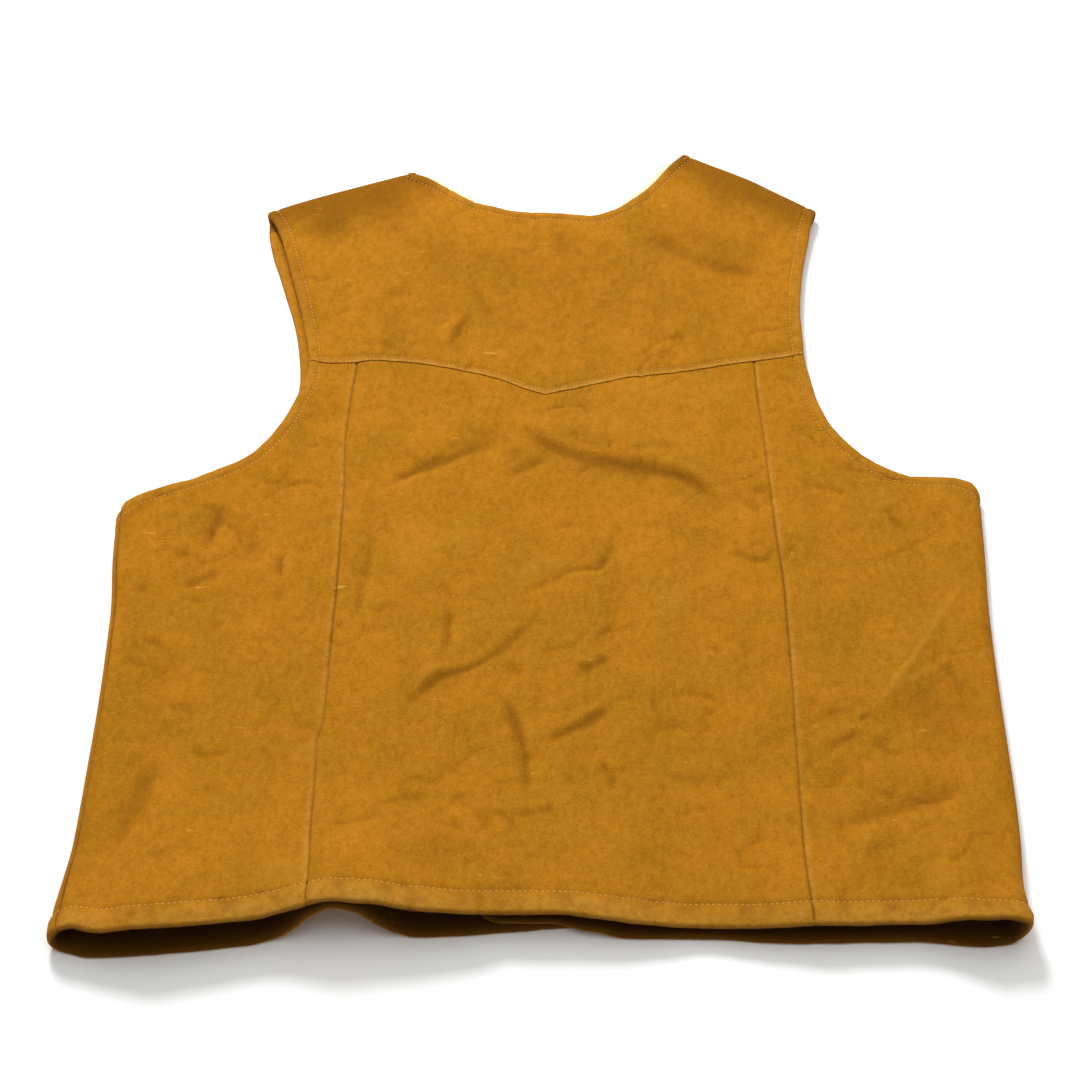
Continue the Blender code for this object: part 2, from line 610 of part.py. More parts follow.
def yoke_top():
    """Plan points of the yoke's upper edge: the tops of both shoulder folds and the neckline between them."""
    left, right = shoulder_line(LEFT_SHOULDER), shoulder_line(RIGHT_SHOULDER)
    neck = along((left[-1],) + NECK[1:-1] + (right[0],),
                 np.linspace(0, 1, YOKE_COLUMNS["left neck"] + YOKE_COLUMNS["right neck"] + 1))
    return np.concatenate([left, neck[1:-1], right])


def back_yoke():
    """The yoke: pointed lower edge, neckline, and both shoulders rolled over to the front."""
    top = yoke_top()
    left_columns = YOKE_COLUMNS["left shoulder"] + YOKE_COLUMNS["left neck"]
    right_columns = YOKE_COLUMNS["right neck"] + YOKE_COLUMNS["right shoulder"]
    tip = YOKE_EDGE_LEFT[-1][0]
    bottom_x = np.concatenate([np.linspace(YOKE_EDGE_LEFT[0][0], tip, left_columns + 1),
                               np.linspace(tip, YOKE_EDGE_RIGHT[-1][0], right_columns + 1)[1:]])
    bottom = np.stack([bottom_x, yoke_edge(bottom_x)], axis=-1)
    u = np.linspace(0.0, 1.0, len(top))
    v = np.linspace(0.0, 1.0, YOKE_ROWS + 1)
    left_y = bottom[0, 1] + (top[0, 1] - bottom[0, 1]) * v
    right_y = bottom[-1, 1] + (top[-1, 1] - bottom[-1, 1]) * v
    left = np.stack([curve(LEFT_ARMHOLE, 1, 0, left_y), left_y], axis=-1)
    right = np.stack([curve(RIGHT_ARMHOLE, 1, 0, right_y), right_y], axis=-1)
    left[-1], right[-1] = top[0], top[-1]
    bottom[0], bottom[-1] = left[0], right[0]
    net = lay(coons(bottom, top, left, right, u, v), yoke_height)
    last_left = YOKE_COLUMNS["left shoulder"] + 1
    first_right = len(top) - YOKE_COLUMNS["right shoulder"] - 1
    left_roll = shoulder_roll(LEFT_SHOULDER, net[-1, :last_left])
    right_roll = shoulder_roll(RIGHT_SHOULDER, net[-1, first_right:])
    return sheet("back_yoke", [net, left_roll, right_roll], SUEDE_LOOKS["back_yoke"])


def neck_tape(name, reach):
    """A pale tape under the neckline, showing past it at a neck point."""
    top = yoke_top()
    first, last = YOKE_COLUMNS["left shoulder"], len(top) - YOKE_COLUMNS["right shoulder"]
    line = along(top[first:last], np.linspace(0, 1, TAPE_POINTS))
    line = line[(line[:, 0] >= reach[0]) & (line[:, 0] <= reach[1])]
    run = np.gradient(line, axis=0)
    out = np.stack([-run[:, 1], run[:, 0]], axis=-1) / np.linalg.norm(run, axis=1, keepdims=True)
    drop = HALF + 2 * SEAM_GAP + TAPE / 2
    rows = []
    for distance in (-TAPE_TUCK, -TAPE_TUCK / 2, TAPE_SHOWS):
        plan = line + out * distance
        level = yoke_height(plan[:, 0], plan[:, 1]) - drop
        rows.append(np.concatenate([plan, level[:, None]], axis=1))
    return sheet(name, [np.stack(rows)], CREAM, slot="cotton", thickness=TAPE)


def front_columns(close_from, close_to, width, even_step, close_step):
    """Column shares across a front, closer together where its hem buckles."""
    start, end = close_from / width, close_to / width
    return np.concatenate([steps_between(0.0, start, even_step / width),
                           steps_between(start, end, close_step / width)[1:],
                           steps_between(end, 1.0, even_step / width)[1:]])


def main():
    """Clear the scene and lay out the vest's pieces."""
    for item in list(bpy.data.objects):
        bpy.data.objects.remove(item)
    back_yoke()
    back_centre()
    side_back("back_side_left", LEFT_SIDE, -1, LEFT_SEAM, LEFT_UNDERARM, LEFT_ARMHOLE, LEFT_SEAM_ANGLE)
    side_back("back_side_right", RIGHT_SIDE, 1, RIGHT_SEAM, RIGHT_UNDERARM, RIGHT_ARMHOLE, RIGHT_SEAM_ANGLE)
    left_neck = shoulder_seam(LEFT_SHOULDER, 1.0)
    right_neck = shoulder_seam(RIGHT_SHOULDER, 0.0)
    front_panel("front_left", LEFT_SIDE, -1, LEFT_FRONT_HEM, LEFT_UNDERARM, LEFT_FRONT_ARMHOLE, LEFT_SEAM_ANGLE,
                LEFT_FRONT_EDGE, LEFT_BREAK, left_neck, LEFT_SHOULDER,
                front_columns(*LEFT_FRONT_COLUMNS), left_front_height)
    front_panel("front_right", RIGHT_SIDE, 1, RIGHT_FRONT_HEM, RIGHT_UNDERARM, RIGHT_FRONT_ARMHOLE,
                RIGHT_SEAM_ANGLE, RIGHT_FRONT_EDGE, RIGHT_BREAK, right_neck, RIGHT_SHOULDER,
                front_columns(*RIGHT_FRONT_COLUMNS), right_front_height)
    neck_tape("neck_tape_left", LEFT_TAPE)
    neck_tape("neck_tape_right", RIGHT_TAPE)


main()
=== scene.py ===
"""Looks of a tan suede western vest that lies flat on its front, with its back uppermost.

Every cut piece is a sheet of leather that takes the place of its plain solid. A sheet starts as nets of
points through the middle of the leather, in millimetres, on grids that bmesh makes. Its edges are turned
in, its creases and its sewn edges are raised or pressed in, and a Solidify modifier gives it its thickness.
x runs from the wearer's left to the wearer's right, y from the hem to the neck, and z up from the surface.
"""

import logging
import math
from dataclasses import dataclass, field
from enum import Enum
from typing import Any, Callable, Sequence

import bmesh
import bpy
import numpy as np
from mathutils import Matrix, Vector, kdtree, noise
from mathutils.bvhtree import BVHTree


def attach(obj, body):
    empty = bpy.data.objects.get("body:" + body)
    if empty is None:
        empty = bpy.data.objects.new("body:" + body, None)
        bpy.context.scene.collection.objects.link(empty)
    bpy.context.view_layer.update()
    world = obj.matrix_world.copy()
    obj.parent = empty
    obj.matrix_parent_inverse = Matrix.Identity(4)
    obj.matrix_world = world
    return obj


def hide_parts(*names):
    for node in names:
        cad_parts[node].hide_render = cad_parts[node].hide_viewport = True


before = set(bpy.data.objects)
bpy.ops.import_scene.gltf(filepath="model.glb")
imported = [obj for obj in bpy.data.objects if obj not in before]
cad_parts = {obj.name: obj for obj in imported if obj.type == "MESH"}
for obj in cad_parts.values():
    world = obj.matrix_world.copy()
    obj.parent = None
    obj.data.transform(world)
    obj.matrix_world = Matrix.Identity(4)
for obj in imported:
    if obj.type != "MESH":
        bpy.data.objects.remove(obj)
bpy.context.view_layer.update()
LOG = logging.getLogger("vest")

MM = 0.001
WRINKLE_SEED = 1
CENTRE = (6.5, 33.0)            # the middle of the footprint, which is the origin

# Leather
SUEDE = 1.8                     # thickness of the hide
HALF = SUEDE / 2
SEAM_GAP = 0.3
PLY = SUEDE + SEAM_GAP
TURN_RADIUS = 1.1
TURN_OUT = TURN_RADIUS + HALF   # how far a turned edge stands out past its net
YOKE_LAP = 8.0
TAPE = 1.0

# Close rows of points along an edge, as distances from it
HEM_MARKS = (0.0, 1.2, 2.6, 4.2, 6.0, 7.8, 9.4, 10.8, 12.0, 13.2, 14.6, 16.6, 19.0)
ARMHOLE_MARKS = (0.0, 1.0, 2.2, 3.5, 4.8, 5.8, 6.8, 8.2, 10.2, 12.8)
SEAM_MARKS = (0.0, 0.7, 1.5, 2.6, 4.2, 6.4)
YOKE_MARKS = (0.0, 0.7, 1.4, 2.2, 3.1, 4.0, 4.9, 6.4, 8.6)

Points = np.ndarray


def smoothstep(t: Any) -> Any:
    """Ease from 0 at t = 0 to 1 at t = 1."""
    t = np.clip(t, 0.0, 1.0)
    return t * t * (3.0 - 2.0 * t)


def waves(place: Points, length: float, wander: float, drift: float) -> Points:
    """Waves along an edge, whose spacing wanders."""
    return np.sin(place / length + wander * np.sin(place / drift))


def unit(vectors: Points) -> Points:
    """The same vectors with a length of 1."""
    return vectors / np.maximum(np.linalg.norm(vectors, axis=-1, keepdims=True), 1e-9)


def distances(line: Points) -> Points:
    """How far along a line each of its points is."""
    return np.concatenate([[0.0], np.cumsum(np.linalg.norm(np.diff(line, axis=0), axis=1))])


def at_distances(places: Points, lengths: Points, line: Points) -> Points:
    """Points of a line at places along it, where lengths are how far along its own points are."""
    return np.stack([np.interp(places, lengths, column) for column in line.T], axis=-1)


def in_frame(point: Sequence[float]) -> Vector:
    """Turn millimetres on the drawing into metres in the shared frame."""
    return Vector(((point[0] - CENTRE[0]) * MM, (point[1] - CENTRE[1]) * MM, point[2] * MM))


def spread(length: float, step: float, start: Sequence[float] = (0.0,),
           end: Sequence[float] = (0.0,)) -> Points:
    """Divide a length with given close steps at its two ends and even steps between them.

    Args:
        length: The length to divide, in millimetres.
        step: The even steps' length.
        start: Distances of the first points from the start.
        end: Distances of the last points from the end.

    Returns:
        Shares of the length, from 0 to 1.
    """
    first, last = start[-1], length - end[-1]
    even = np.linspace(first, last, max(1, round((last - first) / step)) + 1)
    tail = [length - mark for mark in reversed(end[:-1])]
    return np.concatenate([start[:-1], even, tail]) / length


def coons(bottom: Points, top: Points, left: Points, right: Points, u: Points, v: Points) -> Points:
    """Fill the outline of a piece with a net of rows by columns, from its four edges.

    Args:
        bottom: Points of the lower edge, one for each value of u.
        top: Points of the upper edge.
        left: Points of the edge at u = 0, one for each value of v.
        right: Points of the edge at u = 1.
        u: Column shares.
        v: Row shares.

    Returns:
        The net.
    """
    u, v = u[None, :, None], v[:, None, None]
    corners = ((1 - u) * (1 - v) * bottom[0] + u * (1 - v) * bottom[-1]
               + (1 - u) * v * top[0] + u * v * top[-1])
    return (1 - v) * bottom[None] + v * top[None] + (1 - u) * left[:, None] + u * right[:, None] - corners


class Track:
    """A table of sizes that is read smoothly between its rows, and never overshoots them."""

    def __init__(self, rows: Sequence[Sequence[float]], key: int = 0) -> None:
        """Sort the rows by their key column."""
        self.rows = np.array(sorted(rows, key=lambda row: row[key]), float)
        self.keys = self.rows[:, key]

    def read(self, at: Any, column: int = 1) -> Any:
        """Read one column where the key column has the given value.

        Args:
            at: Values of the key column.
            column: The column to read.

        Returns:
            Values of that column.
        """
        values = self.rows[:, column]
        steps = np.diff(self.keys)
        slopes = np.diff(values) / steps
        product = slopes[:-1] * slopes[1:]
        total = np.where(product > 0.0, slopes[:-1] + slopes[1:], 1.0)
        inner = np.where(product > 0.0, 2.0 * product / total, 0.0)
        tangents = np.concatenate([slopes[:1], inner, slopes[-1:]])
        at = np.clip(np.asarray(at, float), self.keys[0], self.keys[-1])
        i = np.clip(np.searchsorted(self.keys, at, side="right") - 1, 0, len(steps) - 1)
        t = (at - self.keys[i]) / steps[i]
        return (values[i] * (1 + 2 * t) * (1 - t) ** 2 + values[i + 1] * t * t * (3 - 2 * t)
                + steps[i] * (tangents[i] * t * (1 - t) ** 2 - tangents[i + 1] * t * t * (1 - t)))


def along(points: Any, shares: Points) -> Points:
    """Points of a smoothed polyline at shares of its length."""
    points = np.asarray(points, float)
    lengths = distances(points)
    track = Track([(s, *p) for s, p in zip(lengths / lengths[-1], points)])
    return np.stack([track.read(shares, i + 1) for i in range(points.shape[1])], axis=-1)


def led_to(line: Points, end: Points, reach: float = 30.0) -> Points:
    """Bend the last stretch of a plan line so that it runs smoothly to a given end."""
    run = distances(line)
    share = smoothstep(1.0 - (run[-1] - run) / reach)
    return line + share[:, None] * (end - line[-1])


def drawn_in(points: Sequence[Sequence[float]], distance: float) -> list[tuple[float, float]]:
    """Move a plan line to its own right, as seen along it."""
    line = np.array(points, float)
    run = unit(np.gradient(line, axis=0))
    return [tuple(p) for p in line + distance * np.stack([run[:, 1], -run[:, 0]], axis=-1)]


# Hem of the back: x, y, height of the leather's middle
BACK_HEM = Track((
    (-272, -302, 25.0), (-255, -306, 28.5), (-233, -306, 31.0), (-205, -303, 29.0), (-168, -298, 27.5),
    (-143, -294, 32.0), (-121, -292, 38.0), (-102, -292, 36.0), (-75, -294, 31.0), (-49, -294, 26.0),
    (-22, -292, 22.0), (10, -292, 21.0), (45, -295, 19.0), (70, -296, 15.5), (95, -296, 12.5),
    (130, -298, 16.5), (170, -298, 20.0), (215, -297, 19.0), (242, -298, 24.5), (260, -300, 31.5),
    (269, -299, 31.0),
))

# Hems of the fronts: x, y, height
LEFT_FRONT_HEM = Track((
    (-279, -307, 0.9), (-265, -310, 0.9), (-238, -309, 0.9), (-205, -306, 0.9), (-172, -302, 0.9),
    (-157, -299, 3.2), (-145, -297, 11.5), (-133, -295, 24.5), (-121, -294, 31.0), (-109, -294, 27.0),
    (-97, -295, 14.0), (-85, -296, 4.5), (-72, -297, 0.9), (-50, -296, 0.9), (22, -290, 0.9),
))
RIGHT_FRONT_HEM = Track((
    (-35, -281, 0.9), (-31, -287, 0.9), (-22, -290, 0.9), (5, -290, 0.9), (28, -295, 0.9), (60, -298, 0.9),
    (95, -298, 0.9), (150, -301, 0.9), (220, -300, 0.9), (262, -303, 0.9), (274, -302, 0.9),
))

# Rolled sides: y, outermost x, its height, top height, reach to the top, reach to the surface
ROUND = (5.6, 12.0, 6.5, 5.0)   # heights and reaches where both sides are even
LEFT_ROLL = Track((
    (-304, -288.0, 9.0, 25.0, 16.0, 9.0),
    (-288, -287.5, 8.0, 21.0, 13.0, 8.0),
    (-268, -285.5, 6.5, 16.0, 9.0, 6.5),
    (-240, -282.5, 5.8, 13.0, 7.0, 5.5),
    *((*place, *ROUND)
      for place in ((-200, -281.5), (-134, -280.5), (-70, -281.5), (-20, -286.0), (35, -288.5))),
))
RIGHT_ROLL = Track((
    (-302, 286.5, 22.0, 31.0, 17.0, 12.0),
    (-288, 287.0, 17.0, 25.0, 12.0, 10.0),
    (-268, 288.0, 9.0, 17.0, 9.0, 7.5),
    (-240, 291.0, 6.0, 13.0, 7.0, 5.5),
    *((*place, *ROUND)
      for place in ((-200, 292.5), (-134, 293.0), (-70, 294.5), (-20, 298.0), (40, 301.5))),
))

# Armholes from the underarm up: x, y
LEFT_ARMHOLE = (
    (-282, 24.5), (-274, 30.5), (-256, 40.5), (-242, 47), (-223, 56.5), (-203, 68), (-194, 79),
    (-187, 90), (-181, 101), (-174, 122), (-168.5, 140), (-166.8, 155), (-168, 168), (-171, 184),
    (-178, 215), (-187, 249), (-194, 276), (-199.5, 296), (-205, 306),
)
RIGHT_ARMHOLE = (
    (295, 41), (284, 46), (270, 48), (256, 50), (242, 55.5), (226, 68), (216, 79), (209, 90), (203, 101),
    (197, 122), (193.5, 143), (191.5, 160), (191, 172), (191, 195), (192.5, 219), (196, 245), (201, 270),
    (206.5, 294), (211, 306),
)
LEFT_FRONT_ARMHOLE = (
    (-283, 18), (-272, 27), (-252, 39), (-228, 52), (-206, 67), (-191, 84), (-181, 102), (-175, 122),
    (-172.5, 138), (-173, 150), (-176, 176), (-181, 200), (-188, 225), (-196, 252), (-203, 275), (-207, 296),
)
RIGHT_FRONT_ARMHOLE = (
    (296, 30), (283, 36), (262, 42), (240, 52), (221, 67), (208, 83), (199, 100), (192, 124), (188, 152),
    (187, 180), (188, 208), (191, 236), (196, 262), (202, 284), (209, 303),
)

# Outermost lines of the shoulder folds, and the back neckline: x, y
LEFT_SHOULDER = ((-209, 310), (-193, 318.5), (-164, 331), (-132, 343.5), (-98, 356.5))
RIGHT_SHOULDER = ((113, 377), (134, 364.5), (149, 356), (164, 347), (179, 336), (194, 325), (212, 312))
NECK = (
    (-84, 347), (-70, 338), (-54, 326.5), (-39, 319.5), (-23, 314), (-8, 311.5), (8, 311), (23, 309.5),
    (38, 308), (54, 313.5), (70, 325), (86, 342.5), (100, 361.5),
)

# Lower edge of the yoke, which comes to a point: x, y
YOKE_POINT = 4.0
YOKE_EDGE_LEFT = Track((
    (-166, 158), (-150, 155), (-134, 155), (-122, 157.5), (-108, 157), (-82, 153.5), (-60, 148.5),
    (-29, 139), (-13, 131), (4, 124),
))
YOKE_EDGE_RIGHT = Track((
    (4, 124), (21, 129), (43, 136), (68, 142), (101, 146.5), (126, 151.5), (154, 156.5), (177, 161),
    (191, 163.5),
))

# Long back seams from the hem up: y, x
LEFT_SEAM = Track((
    (-298, -136), (-262, -137), (-233, -138.5), (-194, -139.5), (-169, -140.5), (-150, -137), (-83, -136),
    (-43, -135), (33, -135), (82, -136.5), (115, -135), (170, -131),
))
RIGHT_SEAM = Track((
    (-298, 160.5), (-252, 159), (-176, 161), (-100, 162), (-43, 162), (-2, 160), (46, 158.5), (88, 157),
    (132, 155), (170, 154.5),
))


@dataclass(frozen=True)
class Crease:
    """A trough or a ridge along a bent line."""

    path: tuple                      # x, y of its points
    height: float                    # below 0 for a trough
    width: float
    lip: float = 0.4                 # share of the depth that stands up again along one side

    def relief(self, x: Points, y: Points) -> Points:
        """Height that the crease adds at places on the back.

        Args:
            x: Places across the vest.
            y: Places up the vest.

        Returns:
            The height at each place, in millimetres.
        """
        line = along(self.path, np.linspace(0.0, 1.0, 6 * len(self.path)))
        reach = 3.2 * self.width
        low, high = line.min(axis=0) - reach, line.max(axis=0) + reach
        near = np.nonzero((x > low[0]) & (x < high[0]) & (y > low[1]) & (y < high[1]))[0]
        best, share, side = np.full(len(near), 1e9), np.zeros(len(near)), np.zeros(len(near))
        for i, (start, run) in enumerate(zip(line, np.diff(line, axis=0))):
            off_x, off_y = x[near] - start[0], y[near] - start[1]
            part = np.clip((off_x * run[0] + off_y * run[1]) / (run @ run), 0.0, 1.0)
            away = np.hypot(off_x - part * run[0], off_y - part * run[1])
            nearer = away < best
            best = np.where(nearer, away, best)
            share = np.where(nearer, (i + part) / (len(line) - 1), share)
            side = np.where(nearer, np.sign(run[0] * off_y - run[1] * off_x), side)
        fade = smoothstep(share / 0.3 + 0.1) * smoothstep((1.0 - share) / 0.3 + 0.1)
        fade = fade * (0.82 + 0.18 * np.sin(9.0 * share + self.path[0][0]))
        wander = self.width * (1.0 + 0.2 * np.sin(13.0 * share + self.path[0][1]))
        total = np.zeros(len(x))
        lip = self.lip * np.exp(-((best * side - 1.8 * wander) / wander) ** 2)
        total[near] = self.height * fade * (np.exp(-(best / wander) ** 2) - lip)
        return total


def creases(rows: Sequence[tuple], **shared: float) -> tuple[Crease, ...]:
    """Creases from rows of a path, a height and a width, and what all of them share."""
    return tuple(Crease(*row, **shared) for row in rows)


# Main folds, which the solids have too
FOLDS = creases((
    (((-88, 44), (-52, 70), (-20, 94)), -2.4, 13),
    (((-14, 91), (62, 60), (142, 20)), -3.0, 14),
    (((-30, 104), (40, 84), (120, 56)), 2.0, 13, 0.0),
    (((-96, -149), (-49, -111), (13, -66)), -1.2, 10),
    (((-104, -128), (-60, -92), (-8, -52)), 1.0, 13, 0.0),
    (((-18, -133), (-14, -166), (-8, -200)), -1.3, 10),
    (((3, -168), (24, -150), (44, -132)), -1.2, 9),
    (((-60, -50), (-62, -68), (-60, -88)), -0.8, 8),
    (((92, 8), (112, -8), (128, -34)), -1.6, 13),
    (((-240, -176), (-250, -216), (-262, -250)), -2.2, 15),
    (((-226, 26), (-226, 6), (-224, -18)), -1.6, 9),
    (((-198, 10), (-196, -8), (-192, -26)), -1.5, 9),
    (((-246, -48), (-222, -34), (-200, -26)), -1.8, 10),
    (((276, -50), (240, -104), (198, -156)), 2.6, 15, 0.0),
    (((280, -90), (256, -128), (222, -168)), -2.8, 18, 0.0),
    (((272, -199), (226, -214), (180, -230)), -2.4, 14),
    (((238, 26), (244, 12), (252, -4)), -1.8, 11),
    (((72, 280), (130, 262), (186, 242)), -2.4, 17),
    (((-170, 302), (-158, 290), (-144, 278)), -1.4, 14),
    (((-84, 186), (-70, 198), (-56, 212)), -1.2, 11),
    (((10, 288), (20, 276), (30, 264)), -1.2, 12),
    (((74, 186), (92, 178), (110, 172)), -1.0, 10),
))

# Fine creases of the middle back, the side backs and the yoke
CREASES = creases((
    (((-19, 95), (14, 74), (53, 61), (89, 53), (108, 44), (125, 23)), -1.7, 4.5, 0.5),
    (((-29, 82), (-54, 70), (-85, 55), (-113, 35)), -1.1, 3.6, 0.5),
    (((5, 65), (-8, 58), (-22, 50)), -0.9, 4.0),
    (((49, -1), (46, -18), (37, -31), (21, -32), (5, -42), (-14, -52)), -0.8, 3.0, 0.5),
    (((-113, -10), (-116, -31), (-122, -77)), -0.7, 3.2, 0.5),
    (((58, 72), (76, 77), (103, 72)), -0.7, 4.0),
    (((100, 8), (114, 6), (129, 2)), 0.5, 2.6, 0.0),
    (((51, 93), (63, 93), (75, 92)), 0.4, 2.4, 0.0),
    (((128, -16), (149, -23), (159, -12)), -0.9, 3.0, 0.5),
    (((139, 27), (149, 20)), -0.8, 4.0),
    (((-89, -146), (-66, -119), (-43, -109), (-25, -96), (2, -65)), -1.1, 3.0, 0.5),
    (((-60, -58), (-60, -84), (-65, -108)), -0.9, 3.0, 0.5),
    (((-26, -128), (-13, -161), (-9, -185), (-8, -214)), -1.1, 3.0, 0.5),
    (((2, -170), (16, -160), (32, -151), (47, -138)), -1.4, 3.4, 0.5),
    (((-22, -104), (-11, -118)), -0.7, 3.0),
    (((25, -114), (36, -108), (46, -101)), -1.1, 3.2, 0.5),
    (((34, -89), (49, -76)), -0.7, 3.0),
    (((37, -180), (47, -200)), -0.9, 3.0),
    (((-19, -223), (-9, -222), (11, -217)), -0.8, 3.0),
    (((-51, -216), (-44, -208)), -0.8, 5.0),
    (((-55, -228), (-47, -236)), -0.8, 4.0),
    (((66, -187), (93, -197), (127, -191)), -0.6, 5.0),
    (((102, -141), (112, -146)), -0.6, 3.0),
    (((-217, 21), (-220, 6), (-223, -12)), -0.9, 2.6, 0.5),
    (((-196, -2), (-192, -29)), -0.9, 6.0),
    (((-173, -18), (-174, -39)), -0.9, 2.6, 0.5),
    (((-167, -46), (-176, -59)), -0.7, 3.4),
    (((-239, -46), (-221, -37), (-212, -33)), -0.8, 3.0),
    (((-248, -21), (-233, -18)), -1.0, 4.6),
    (((-259, -90), (-252, -92), (-238, -99)), -0.8, 3.4),
    (((-228, -145), (-221, -139)), -0.8, 5.0),
    (((-239, -181), (-249, -217), (-259, -252)), -1.2, 6.0),
    (((290, -33), (265, -67), (250, -90), (222, -131), (212, -144)), 0.9, 2.2, 0.0),
    (((265, -104), (251, -112), (234, -124)), 0.6, 2.2, 0.0),
    (((201, -151), (206, -149), (211, -146)), -1.0, 2.2),
    (((178, -174), (190, -167), (203, -159)), -0.7, 3.4),
    (((169, -139), (178, -137)), -0.6, 2.6),
    (((192, -260), (212, -238)), -0.8, 6.0),
    (((276, -198), (224, -216), (174, -234)), -0.9, 5.0, 0.5),
    (((236, 25), (241, 14), (247, 1)), -0.9, 4.0),
    (((265, 15), (274, 14)), -0.6, 3.0),
    (((-183, 278), (-166, 288), (-147, 302)), -0.7, 9.0),
    (((-115, 220), (-96, 231)), -0.6, 5.0),
    (((-67, 165), (-59, 189), (-50, 202)), -1.1, 3.8, 0.5),
    (((-115, 165), (-102, 178)), -0.8, 6.0),
    (((-51, 233), (-41, 213), (-34, 195)), -0.6, 4.0),
    (((70, 282), (91, 280), (111, 264), (132, 254), (154, 248), (177, 243)), -0.9, 6.0, 0.5),
    (((11, 264), (28, 286)), -0.6, 8.0),
    (((108, 256), (113, 237)), -0.5, 4.0),
    (((146, 189), (153, 169)), -0.5, 3.6),
    (((94, 178), (106, 180)), -0.6, 3.6),
    (((85, 156), (94, 165)), -0.7, 4.0),
))

# Broad places that are darker, or lighter where the height is below 0
TONES = creases((
    (((-168, 276), (-138, 303), (-77, 319)), 0.34, 15),
    (((-106, 270), (-30, 255), (60, 270)), 0.16, 20),
    (((68, 281), (122, 288), (160, 238)), 0.28, 15),
    (((-190, 300), (-140, 318), (-100, 334)), 0.28, 18),
    (((112, 340), (156, 318), (200, 292)), 0.3, 20),
    (((-169, 180), (-176, 215), (-192, 275)), 0.3, 10),
    (((-150, 225), (0, 215), (160, 230)), 0.14, 50),
    (((-31, 59), (14, 68), (87, 63)), 0.22, 15),
    (((-222, 25), (-212, -5)), 0.16, 16),
    (((-240, -92), (-230, -123)), 0.14, 14),
    (((-97, -243), (-60, -255), (-24, -247)), 0.24, 18),
    (((-258, -212), (-242, -236)), 0.26, 15),
    (((280, -107), (270, -138), (237, -179)), 0.24, 14),
    (((158, -227), (189, -222)), 0.26, 14),
    (((92, -220), (132, -250)), 0.14, 15),
    (((-100, -36), (-67, -5), (-34, 1)), -0.45, 15),
    (((230, 43), (237, 8)), -0.4, 14),
    (((-13, -26), (13, -39)), -0.35, 14),
    (((72, -59), (99, -51)), -0.35, 13),
    (((-144, -165), (-140, -183)), -0.4, 12),
    (((-170, -272), (-131, -270)), -0.4, 13),
    (((43, 132), (157, 128)), -0.4, 13),
    (((223, -272), (250, -270)), -0.4, 13),
), lip=0.0)

# Creases of the fronts, which can only stand up off the surface
FRONT_CREASES = creases((
    (((-240, -60), (-200, -82), (-150, -90)), 1.4, 7.0),
    (((-120, 20), (-96, -20), (-90, -66)), 1.1, 6.0),
    (((-210, -190), (-180, -222), (-168, -250)), 1.5, 8.0),
    (((-150, 150), (-118, 176), (-96, 214)), 1.0, 6.0),
    (((238, -36), (206, -70), (168, -84)), 1.3, 7.0),
    (((120, 30), (102, -16), (104, -60)), 1.0, 6.0),
    (((214, -180), (176, -206), (150, -212)), 1.5, 8.0),
    (((150, 120), (128, 160), (126, 204)), 1.0, 6.0),
), lip=0.0)


@dataclass(frozen=True)
class Flank:
    """Sizes of one half of the vest."""

    outward: int                     # -1 on the wearer's left and 1 on the wearer's right
    roll: Track
    seam: Track
    armhole: tuple
    front_armhole: tuple
    front_hem: Track
    underarm: tuple                  # y of the underarm on the back, on the front and at the outermost line
    seam_angle: float                # where the side seam lies: 90 is the top of the roll, -90 the surface
    shoulder: tuple
    lean: float                      # sideways run of the front yoke strip's end, for each mm of its width
    front_edge: float                # x of the centre front edge
    front_break: float               # where that edge turns off to the neck point
    buckle: tuple                    # distances from the front edge between which the columns stand closer

    def drawn(self, armhole: tuple) -> Track:
        """The armhole's net line, inside the fold of its turned edge, keyed by y."""
        return Track(drawn_in(armhole, -self.outward * TURN_OUT), key=1)


LEFT = Flank(
    outward=-1, roll=LEFT_ROLL, seam=LEFT_SEAM, armhole=LEFT_ARMHOLE, front_armhole=LEFT_FRONT_ARMHOLE,
    front_hem=LEFT_FRONT_HEM, underarm=(24.5, 16.0, 12.0), seam_angle=54.0, shoulder=LEFT_SHOULDER,
    lean=-0.36, front_edge=22.0, front_break=95.0, buckle=(92.0, 196.0),
)
RIGHT = Flank(
    outward=1, roll=RIGHT_ROLL, seam=RIGHT_SEAM, armhole=RIGHT_ARMHOLE, front_armhole=RIGHT_FRONT_ARMHOLE,
    front_hem=RIGHT_FRONT_HEM, underarm=(41.0, 32.0, 33.0), seam_angle=-58.0, shoulder=RIGHT_SHOULDER,
    lean=0.22, front_edge=-35.0, front_break=84.0, buckle=(4.0, 76.0),
)


